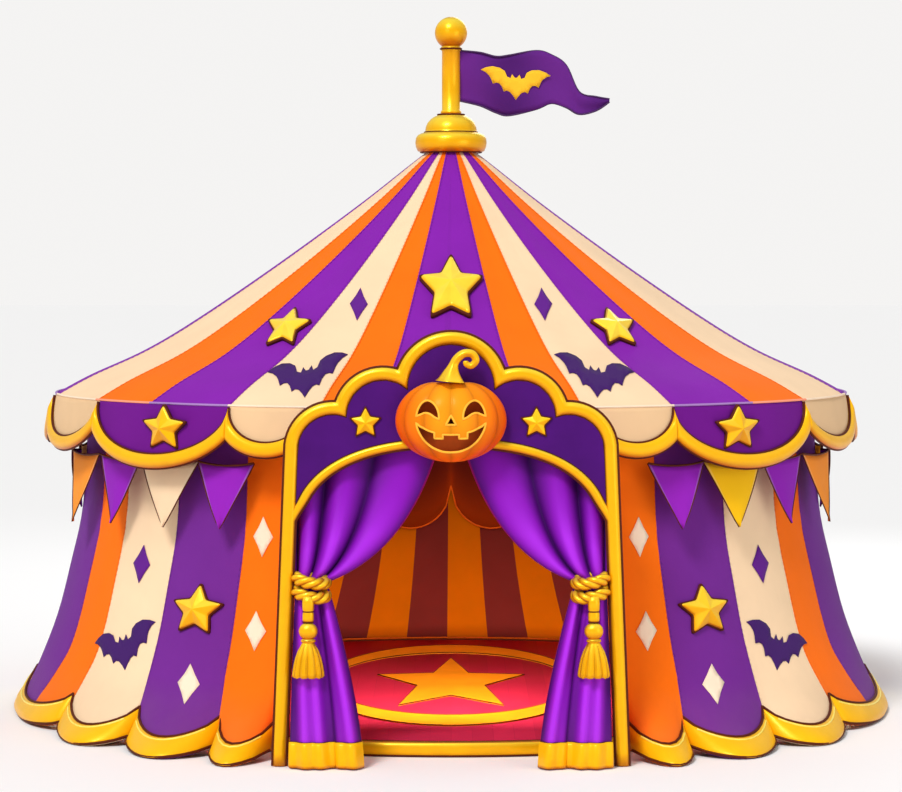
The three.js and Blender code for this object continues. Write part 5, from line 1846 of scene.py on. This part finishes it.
class TENT_OT_portal(bpy.types.Operator):
    """Build the gilt posts and trims, the hood and the side returns round the doorway"""

    bl_idname = "tent.portal"
    bl_label = "Portal"

    def execute(self, context):
        front = Vector((0, -1, 0))
        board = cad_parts["head_board"]
        board.data.materials.clear()
        board.data.materials.append(finish("board"))
        half, deep = TRIM_W / 2, TRIM_D / 2
        steps = 24

        def at(x, z, lift=0.0):
            return Vector((x, PORTAL_Y - lift, z))

        def band(inner, outer, depth):
            return [(at(*a), at(*b), front, depth) for a, b in zip(inner, outer)]

        def post_edge(side):
            heights = [0.002 + POST_TOP_Z * k / steps for k in range(steps)]
            return [(POST_FOOT_X + (POST_TOP_X - 0.005 - POST_FOOT_X) * z / POST_TOP_Z + side * half, z)
                    for z in heights]

        head_in, head_out = ([*post_edge(side), *[p for arc in head_line(side * half) for p in arc]]
                             for side in (-1, 1))
        trim = band_piece("portal_gilt", [band(both_sides(head_in), both_sides(head_out), deep)],
                          finish("gilt"))
        fit(trim, "gilt_metal", "head_trim", "post_right", "post_left")
        narrow = half - 0.004
        arch_in, arch_out = self.tucked(ARCH_SLIM - narrow), self.tucked(narrow)
        arch = band_piece("arch_trim_gilt", [band(both_sides(arch_in), both_sides(arch_out), deep * 0.85)],
                          finish("gilt"))
        fit(arch, "gilt_metal", "arch_trim")
        rims = [both_sides(rim) for rim in (head_in, head_out, arch_in, arch_out)]
        binding = [[at(x, z, 0.02) for x, z in rim] for rim in rims]
        lay_cord("portal_binding", binding, "gilt_metal", sizes().piping)
        for s in (-1, 1):
            place = self.board_place(s * 0.74, 2.987)
            star_piece("head_star_" + ("right" if s > 0 else "left"), place, 0.135)
        self.hood()
        self.returns()
        return {"FINISHED"}

    def tucked(self, offset):
        """A line along the arch, whose foot draws aside into the post."""
        line = arch_line(offset)
        line = [(line[0][0], ARCH_SPRING - 0.12), *line]
        aside = [min(1, max(0, (ARCH_SPRING + ARCH_TUCK_FROM - z) / ARCH_TUCK_OVER)) for _, z in line]
        return [(x + ARCH_TUCK * t * t * (3 - 2 * t), z) for (x, z), t in zip(line, aside)]

    def board_place(self, x0, z0):
        return lambda x, y, h: Vector((x0 + x, PORTAL_Y - 0.0405 - h * 0.8, z0 + y))

    def hood(self):
        """Purple canvas from the head back to the roof and the valance."""
        shade = colours()
        rim = [p for i, arc in enumerate(head_line(-TRIM_W / 2 + 0.012))
               for p in (arc if i == 0 else arc[1:])]
        grid = []
        for x, z in both_sides(rim):
            if z > EAVE_Z + 0.02:
                r = radius_at(ROOF_CURVE, z - 0.012)
            else:
                r = valance_radius(z) - 0.002
            back = -math.sqrt(max(r * r - x * x, 0))
            front = PORTAL_Y + TRIM_D / 2
            count = 10
            grid.append([Vector((x, front + (back - front) * k / count,
                                 z - 0.012 * math.sin(math.pi * k / count)))
                         for k in range(count + 1)])
        hood = sheet_from("hood_canvas", grid, finish("canvas"))
        colour_faces(hood, lambda _: shade.roof_purple)
        hang(hood, "wall_canvas", ["porch_hood"], (3.6, 1.9), "stretched", ["portal_gilt", "roof_canvas"],
             0.0)

    def returns(self):
        """Orange canvas from each post to the end of the wall."""
        shade = colours()
        levels = [0.14 + (POST_TOP_Z - 0.14) * k / 20 for k in range(21)]
        count = 6
        grid = []
        for k in range(count + 1):
            t = k / count
            column = []
            for z in levels:
                wall_end = wall_at(DOOR_EDGE, z, -0.006)
                post_x = POST_FOOT_X + (POST_TOP_X - POST_FOOT_X) * z / POST_TOP_Z + 0.03
                post_side = Vector((post_x, PORTAL_Y + 0.052, z))
                column.append(post_side.lerp(wall_end, t))
            grid.append(column)
        right = sheet_from("return_canvas_right", grid, finish("canvas"))
        colour_faces(right, lambda _: shade.orange)
        thicken(right, sizes().cloth)
        left = mirrored(right, "return_canvas_left")
        fit(right, "wall_canvas", "return_right")
        fit(left, "wall_canvas", "return_left")
        for piece in (right, left):
            declare_cloth(piece, 0.95, 2.6, "stretched", ["eave_ring"])


CURTAIN_TIE = ((1.075, 1.6), (1.35, 1.6))
CURTAIN_FOOT = ((0.755, 0.012), (1.395, 0.012))
CURTAIN_MEET = 0.1
CURTAIN_PULL = (0.28, 0.21)
CURTAIN_FOLDS = 3.2
CURTAIN_SPLIT = 0.37
CURTAIN_Y = (-4.19, -4.32)
CURTAIN_HEM = 0.135


def curtain_line(across, down):
    """The curtain's middle surface as (x, z); down is 0 at the top, 1 at the tie and 2 at the foot."""
    reach = math.acos(min(1.0, (CURTAIN_MEET / ARCH_HALF) ** (ARCH_POWER / 2)))
    c, s = bow(reach * (1 - across) ** 0.85, ARCH_POWER)
    top = ((ARCH_HALF + 0.02) * c, ARCH_SPRING + (ARCH_RISE - 0.01) * s)
    (x0, z0), (x1, z1) = CURTAIN_TIE
    tie = (x0 + (x1 - x0) * across, z0 + (z1 - z0) * across)
    if down <= 1:
        pull = (top[0] + (tie[0] - top[0]) * CURTAIN_PULL[0], tie[1] + (top[1] - tie[1]) * CURTAIN_PULL[1])
        a, b, c2 = (1 - down) ** 2, 2 * down * (1 - down), down ** 2
        return a * top[0] + b * pull[0] + c2 * tie[0], a * top[1] + b * pull[1] + c2 * tie[1]
    (fx0, fz0), (fx1, fz1) = CURTAIN_FOOT
    foot = (fx0 + (fx1 - fx0) * across, fz0 + (fz1 - fz0) * across)
    t = down - 1
    spread = 1 - (1 - t) ** 1.45
    return tie[0] + (foot[0] - tie[0]) * spread, tie[1] + (foot[1] - tie[1]) * t


def curtain_fold(across, down):
    """Height of the folds, from 0 in a valley to 1 on a ridge."""
    upper = abs(math.sin(math.pi * CURTAIN_FOLDS * across + 0.15)) ** 0.75
    share = across / CURTAIN_SPLIT
    if share > 1:
        share = 1 + (across - CURTAIN_SPLIT) / (1 - CURTAIN_SPLIT)
    lower = abs(math.sin(math.pi * share)) ** 0.7
    small = 0.16 * math.sin(math.pi * 9 * across + 2.2 * down)
    mix = min(max((down - 0.85) / 0.4, 0), 1)
    return min(max(upper * (1 - mix) + lower * mix + small * (0.35 + 0.65 * mix), 0), 1.1)


def curtain_point(across, down, lift=0.0):
    x, z = curtain_line(across, down)
    top, tie = CURTAIN_Y
    if down <= 1:
        base = top + (tie - top) * down ** 1.5
        deep = 0.8 + 0.5 * math.sin(math.pi * down)
    else:
        base = tie - 0.15 * (down - 1) ** 0.8
        deep = 0.8 + 0.45 * (down - 1)
    deep *= sizes().fold_depth * (1 - 0.45 * math.exp(-((down - 1) / 0.12) ** 2))
    return Vector((x, base - deep * curtain_fold(across, down) - lift, z))


class TENT_OT_curtains(bpy.types.Operator):
    """Gather the two satin curtains with their gold hems"""

    bl_idname = "tent.curtains"
    bl_label = "Curtains"

    def execute(self, context):
        shade = colours()
        across = 96
        down = 90
        places = [2 - 2 * k / down for k in range(down + 1)]
        grid = [[curtain_point(i / across, place) for place in places] for i in range(across + 1)]
        right = sheet_from("curtain_satin_right", grid, finish("satin"), turned=True)
        tones = []
        # A magenta line down the inner edge: a painted reflection
        edge = paint(178, 18, 96)
        for i in range(across + 1):
            for place in places:
                # Painted light on the folds: painted highlight on the ridges, painted shade in the valleys,
                # and more painted shade where the tie gathers them and near the arch at the top
                ridge = min(curtain_fold(i / across, place), 1)
                ridge *= 1 - 0.55 * math.exp(-((place - 1) / 0.07) ** 2)
                ridge *= 0.6 + 0.4 * min(1, place / 0.5) if place < 1 else 1
                low, high, share = shade.curtain_valley_shade, shade.curtain_middle, (ridge / 0.7) ** 1.6
                if ridge > 0.7:
                    low, high, share = shade.curtain_middle, shade.curtain, ((ridge - 0.7) / 0.3) ** 1.5
                tones.append(edge if i < 1 else [a + (b - a) * share for a, b in zip(low, high)])
        colour_points(right, tones)
        thicken(right, sizes().cloth, 0.0)
        left = mirrored(right, "curtain_satin_left")
        fit(right, "curtain_cloth", "curtain_right")
        fit(left, "curtain_cloth", "curtain_left")
        widths = sum((b[down] - a[down]).length for a, b in pairwise(grid))
        lengths = sum((b - a).length for a, b in pairwise(grid[across // 2]))
        for piece in (right, left):
            declare_cloth(piece, widths, lengths, "gathered", ["arch_trim_gilt"])
        hem_rows = 8
        hem = [[curtain_point(i / across, 2 - CURTAIN_HEM * k / hem_rows,
                              0.012 + 0.016 * math.sin(math.pi * k / hem_rows))
                for k in range(hem_rows + 1)] for i in range(across + 1)]
        hem_right = sheet_from("curtain_hem_right", hem, finish("gold_cloth"), turned=True)
        thicken(hem_right, 0.016)
        hem_left = mirrored(hem_right, "curtain_hem_left")
        for piece in (hem_right, hem_left):
            fit(piece, "curtain_cloth")
        rims = []
        for s in (1, -1):
            for k in (0, hem_rows):
                line = [curtain_point(i / across, 2 - CURTAIN_HEM * k / hem_rows, 0.016)
                        for i in range(across + 1)]
                rims.append([Vector((s * p.x, p.y, max(p.z, 0.012))) for p in line])
        lay_cord("curtain_hem_binding", rims, "curtain_cloth", 0.009)
        return {"FINISHED"}


class TENT_OT_ties(bpy.types.Operator):
    """Tie the curtains back with rope, ball and tassel"""

    bl_idname = "tent.ties"
    bl_label = "Tie-backs"

    def execute(self, context):
        loops = []
        (x, y), (wide, deep) = TIE_AT, TIE_HALF
        for z, dip in TIE_LOOPS:
            turns = [bow(2 * math.pi * k / 40 + math.pi / 2, 2) for k in range(41)]
            drops = [z - dip * (0.5 - 0.5 * s) + 0.02 * c for c, s in turns]
            loops.append([Vector((x + wide * c, y + deep * s, drop)) for (c, s), drop in zip(turns, drops)])
        x, y = TASSEL_AT
        rope = grow("tie_rope_right", "rope", loops, finish("gold_rope"), Radius=sizes().rope, Lay=ROPE_LAY)
        body = [(0, 1.09), (0.052, 1.09), (0.066, 1.105), (0.062, 1.12), (0.04, 1.128)]
        for k in range(1, 12):
            turn = math.radians(-90 + 15 * k)
            body.append((0.083 * math.cos(turn), 1.192 + 0.078 * math.sin(turn)))
        body += [(0.042, 1.27), (0.05, 1.29), (0.05, 1.345), (0.042, 1.362), (0.051, 1.38), (0.052, 1.44),
                 (0.045, 1.49), (0, 1.5)]
        ball = turned_piece("tie_ball", body, finish("gilt"), 32)
        bell = [(0.05, 1.1), (0.062, 1.07), (0.083, 1.02), (0.099, 0.96), (0.112, 0.9), (0.121, 0.84),
                (0.124, 0.81), (0.112, 0.797)]
        skirt = turned_piece("tie_skirt", [(0, 1.1), *[(r * 0.9, z) for r, z in bell], (0, 0.8)][::-1],
                             finish("gold_rope"), 32)
        chance = random.Random(7)
        threads = []
        count = sizes().threads
        for k in range(count):
            turn = 2 * math.pi * k / count
            fold = abs(math.cos(turn * 5))
            low = chance.uniform(0, 0.006) - 0.008 * fold
            threads.append([Vector((r * spread * math.cos(turn), r * spread * math.sin(turn),
                                    z + low * (1.1 - z) / 0.3))
                            for r, z in bell for spread in (0.84 + 0.24 * fold * min(1, (1.1 - z) / 0.1),)])
        tassel = grow("tie_threads", "piping", threads, finish("gold_rope"), Radius=0.0078, Sides=5)
        for piece in (ball, skirt, tassel):
            for vertex in piece.data.vertices:
                vertex.co.x += x
                vertex.co.y = y + vertex.co.y * TASSEL_FLAT
        right = joined("tie_right", rope, ball, skirt, tassel)
        left = mirrored(right, "tie_left")
        fit(right, "gilt_rope", "tieback_right")
        fit(left, "gilt_rope", "tieback_left")
        bands = []
        for s in (1, -1):
            for r, z in ((0.058, 1.112), (0.046, 1.27), (0.044, 1.362)):
                bands.append([Vector((s * x + r * math.cos(t * math.pi / 12),
                                      y + r * 0.75 * math.sin(t * math.pi / 12), z))
                              for t in range(24)])
        lay_cord("tie_binding", bands, "gilt_rope", 0.006, closed=True)
        return {"FINISHED"}


def pumpkin_rib(turn):
    """1 on a rib and 0 in a groove."""
    return abs(math.sin(turn * PUMPKIN_RIBS / 2)) ** 0.55


def pumpkin_at(turn, rise):
    rib = (1 - 0.055 * (1 - pumpkin_rib(turn))) * math.cos(rise) ** 0.92
    dimple = 1 - (0.1 if rise > 0 else -0.02) * math.exp(-((math.pi / 2 - abs(rise)) / 0.3) ** 2)
    return Vector((math.sin(turn) * rib * PUMPKIN_HALF[0],
                   PUMPKIN_BACK - math.cos(turn) * rib * PUMPKIN_DEPTH,
                   PUMPKIN_Z + math.sin(rise) * PUMPKIN_HALF[1] * dimple))


EYE_TOP = [(102, 22), (106, 76), (128, 132), (166, 170), (206, 180), (248, 160), (282, 108), (299, 45)]
EYE_LOW = [(299, 45), (266, 58), (222, 74), (180, 66), (140, 38), (102, 22)]
NOSE = [(-45, -26), (45, -26), (0, 57)]
GRIN_SIDE = [(-299, -11), (-268, -38), (-243, -51), (-192, -76), (-141, -92)]
TOOTH = [(-141, -142), (-70, -144), (-70, -108)]
GRIN_LOW = [(299, -11), (284, -72), (241, -150), (192, -200), (142, -233), (72, -260), (0, -267)]


def mirrored_line(points):
    return [(-x, z) for x, z in reversed(points)]


def face_openings():
    """Outlines of the eyes, the nose and the grin, in millimetres from the pumpkin's middle."""
    eye = [*smooth_line(EYE_TOP, 3), *smooth_line(EYE_LOW, 3)[1:-1]]
    left_half = [*smooth_line(GRIN_SIDE, 3), *TOOTH]
    low_half = smooth_line(GRIN_LOW, 3)
    grin = [*left_half, (0, -111), *mirrored_line(left_half), *low_half[1:-1], *mirrored_line(low_half)[:-1]]
    return [eye, mirrored_line(eye), NOSE, grin]


class TENT_OT_pumpkin(bpy.types.Operator):
    """Carve the grinning pumpkin and its gilt stem"""

    bl_idname = "tent.pumpkin"
    bl_label = "Pumpkin"

    def execute(self, context):
        shade = colours()
        around, rings = 144, 40
        vertices = []
        ribs = []
        for j in range(1, rings):
            rise = math.radians(-90 + 180 * j / rings)
            for i in range(around + 1):
                turn = math.pi * (i / around - 0.5)
                vertices.append(pumpkin_at(turn, rise))
                ribs.append(pumpkin_rib(turn))
        width = around + 1
        faces = grid_faces(0, rings - 1, width)
        caps = []
        for row, rise in ((0, -math.pi / 2), (rings - 2, math.pi / 2)):
            pole = len(vertices)
            vertices.append(pumpkin_at(0, rise))
            ribs.append(0.3)
            caps.append(pole)
            faces += [(row * width + i, row * width + i + 1, pole) for i in range(around)]
        left, right = ([j * width + i for j in range(rings - 1)] for i in (0, around))
        rim = [*left, caps[1], *right[::-1], caps[0]]
        back = len(vertices)
        vertices.append(Vector((0, PUMPKIN_BACK, PUMPKIN_Z)))
        ribs.append(0.0)
        faces += [(rim[k], rim[(k + 1) % len(rim)], back) for k in range(len(rim))]
        skin = new_piece("pumpkin_skin", vertices, faces, finish("pumpkin"), finish("hollow"))
        tones = []
        for point, rib in zip(vertices, ribs):
            # Painted light on the skin: painted highlight at the middle, painted shade towards the sides and
            # underneath, and painted shade in the grooves between the ribs
            low = max(0, PUMPKIN_Z + 0.05 - point.z) / PUMPKIN_HALF[1]
            side = min(1, (abs(point.x) / PUMPKIN_HALF[0]) ** 1.4 + 0.7 * low ** 2)
            skin_tone = [a + (b - a) * side for a, b in zip(shade.pumpkin, shade.pumpkin_side_shade)]
            tones.append([a * (0.72 + 0.28 * rib ** 1.5) for a in skin_tone])
        colour_points(skin, tones)
        tidy_shell(skin)
        surface = BVHTree.FromObject(skin, context.evaluated_depsgraph_get())
        holes = [[(x / 1000, PUMPKIN_Z + z / 1000) for x, z in opening] for opening in face_openings()]
        rims = [self.rim_on(surface, hole) for hole in holes]
        for hole in holes:
            self.carve(skin, hole)
        fit(skin, "pumpkin_skin", "pumpkin")
        lay_cord("pumpkin_cut_edges", rims, "pumpkin_skin", 0.01, finish("cut_edge"), closed=True)
        self.stem()
        return {"FINISHED"}

    def rim_on(self, surface, hole):
        line = []
        for (x0, z0), (x1, z1) in zip(hole, hole[1:] + hole[:1]):
            steps = max(1, math.ceil(math.hypot(x1 - x0, z1 - z0) / 0.015))
            for k in range(steps):
                t = k / steps
                start = Vector((x0 + (x1 - x0) * t, PUMPKIN_BACK - 1, z0 + (z1 - z0) * t))
                found = surface.ray_cast(start, Vector((0, 1, 0)))[0]
                line.append(found + Vector((0, 0.002, 0)))
        return line

    def carve(self, skin, hole):
        """Cuts one opening of the face into the pumpkin, down to a flat floor."""
        floor = PUMPKIN_BACK - 0.15
        count = len(hole)
        vertices = [Vector((x, y, z)) for y in (PUMPKIN_BACK - 0.6, floor) for x, z in hole]
        faces = [tuple(range(count)), tuple(range(2 * count - 1, count - 1, -1))]
        faces += ring_faces(0, 2, count, capped=False)
        tool = new_piece("carving", vertices, faces, finish("pumpkin"), finish("hollow"), smooth=False)
        for face in tool.data.polygons:
            face.material_index = 1
        tidy_shell(tool)
        cut = skin.modifiers.new("Carve", "BOOLEAN")
        cut.operation = "DIFFERENCE"
        cut.solver = "EXACT"
        cut.object = tool
        carved = bpy.data.meshes.new_from_object(skin.evaluated_get(bpy.context.evaluated_depsgraph_get()))
        skin.modifiers.clear()
        skin.data = carved
        bpy.data.objects.remove(tool)

    def stem(self):
        """A ridged stem that tapers, curls over and ends in a rounded tip."""
        line = smooth_line(STEM_PATH, 6)
        last = len(line) - 1
        rings = []
        for i, (x, z) in enumerate(line):
            (x0, z0), (x1, z1) = line[max(i - 1, 0)], line[min(i + 1, last)]
            along = Vector((x1 - x0, 0, z1 - z0)).normalized()
            u = i / last
            r = 0.042 * (1 - 0.42 * u) + 0.088 * max(0, 1 - 4.6 * u) ** 1.5
            r *= math.sqrt(1 - 0.8 * max(0, 1 - (last - i) / 3) ** 2)
            ring = []
            for turn in (2 * math.pi * k / STEM_SIDES for k in range(STEM_SIDES)):
                ridge = r * (1 + 0.09 * math.cos(5 * turn + 3 * u))
                side, out = ridge * math.cos(turn), ridge * math.sin(turn)
                ring.append(Vector((x - along.z * side, STEM_Y + out, z + along.x * side)))
            rings.append(ring)
        stem = bar_piece("pumpkin_stem_gilt", [rings], finish("gilt"))
        fit(stem, "gilt_metal", "pumpkin_stem")


class TENT_OT_stars(bpy.types.Operator):
    """Mount the gilt stars on the roof, the valance and the wall"""

    bl_idname = "tent.stars"
    bl_label = "Stars"

    def execute(self, context):
        for side in ("right", "left"):
            for kind, size in (("valance_star", 0.215), ("wall_star", 0.242)):
                node = f"{kind}_{side}"
                star_piece(node + "_gilt", node_star_place(node), size, node)
        for node, x, z, size, lean, tall in ROOF_STARS:
            radius = radius_at(ROOF_CURVE, z)
            place = on_roof(math.degrees(math.asin(x / radius)), radius)

            def leaned_place(a, b, h, place=place, lean=lean, tall=tall):
                return place(a + lean * b, b * tall, h + 0.012)

            star_piece(node + "_gilt", leaned_place, size, node)
        return {"FINISHED"}


class TENT_OT_patches(bpy.types.Operator):
    """Sew the bats and diamonds onto the roof and the wall"""

    bl_idname = "tent.patches"
    bl_label = "Bats and diamonds"

    def execute(self, context):
        shade = colours()
        roof_bats, roof_diamonds, wall_bats, purple_diamonds, cream_diamonds = [], [], [], [], []
        for s in (1, -1):
            for turn in (0, 180):
                way = s if turn == 0 else -s
                roof_bats.append((bat_outline(0.73, -s * 0.22), on_roof(turn + way * 22.4, 3.42)))
                roof_diamonds.append((diamond_outline(0.17, 0.31, s * 4), on_roof(turn + way * 22.2, 2.278)))
            for azimuth in (50.0, 130.0):
                slope = -s * 0.25 if azimuth < 90 else s * 0.25
                wall_bats.append((bat_outline(1.1, slope, 0.74), on_wall(s * azimuth, 0.82, 0.66)))
                purple_diamonds.append((diamond_outline(0.27, 0.35), on_wall(s * azimuth, 1.58, 0.1)))
            for azimuth, z, width, height, lean in CREAM_DIAMONDS:
                if azimuth < 180 or s > 0:
                    cream_diamonds.append((diamond_outline(width, height), on_wall(s * azimuth, z, lean)))
        sew_patches("roof_bats", roof_bats, shade.patch_purple, "roof_canvas")
        sew_patches("roof_diamonds", roof_diamonds, shade.diamond_purple, "roof_canvas")
        sew_patches("wall_bats", wall_bats, shade.patch_purple, "wall_canvas")
        sew_patches("wall_diamonds_purple", purple_diamonds, shade.diamond_purple, "wall_canvas")
        sew_patches("wall_diamonds_cream", cream_diamonds, paint(250, 228, 200), "wall_canvas")
        return {"FINISHED"}


STEPS = [TENT_OT_stage, TENT_OT_roof, TENT_OT_crown, TENT_OT_flag, TENT_OT_walls, TENT_OT_valance,
         TENT_OT_bunting, TENT_OT_floor, TENT_OT_inside, TENT_OT_portal, TENT_OT_curtains, TENT_OT_ties,
         TENT_OT_pumpkin, TENT_OT_stars, TENT_OT_patches]


class TENT_PT_sidebar(bpy.types.Panel):
    """Lists the steps that build the tent"""

    bl_label = "Circus big top"
    bl_idname = "TENT_PT_sidebar"
    bl_space_type = "VIEW_3D"
    bl_region_type = "UI"
    bl_category = "Tent"

    def draw(self, context):
        for step in STEPS:
            self.layout.operator(step.bl_idname)
        for group in (context.scene.tent_sizes, context.scene.tent_colours):
            box = self.layout.box()
            for name in group.__annotations__:
                box.prop(group, name)


CLASSES = [TentSizes, TentColours, *STEPS, TENT_PT_sidebar]


def register():
    for entry in CLASSES:
        bpy.utils.register_class(entry)
    bpy.types.Scene.tent_sizes = PointerProperty(type=TentSizes)
    bpy.types.Scene.tent_colours = PointerProperty(type=TentColours)


def unregister():
    del bpy.types.Scene.tent_colours
    del bpy.types.Scene.tent_sizes
    for entry in reversed(CLASSES):
        bpy.utils.unregister_class(entry)


def main():
    register()
    for step in STEPS:
        family, action = step.bl_idname.split(".")
        getattr(getattr(bpy.ops, family), action)()


if __name__ == "__main__":
    main()
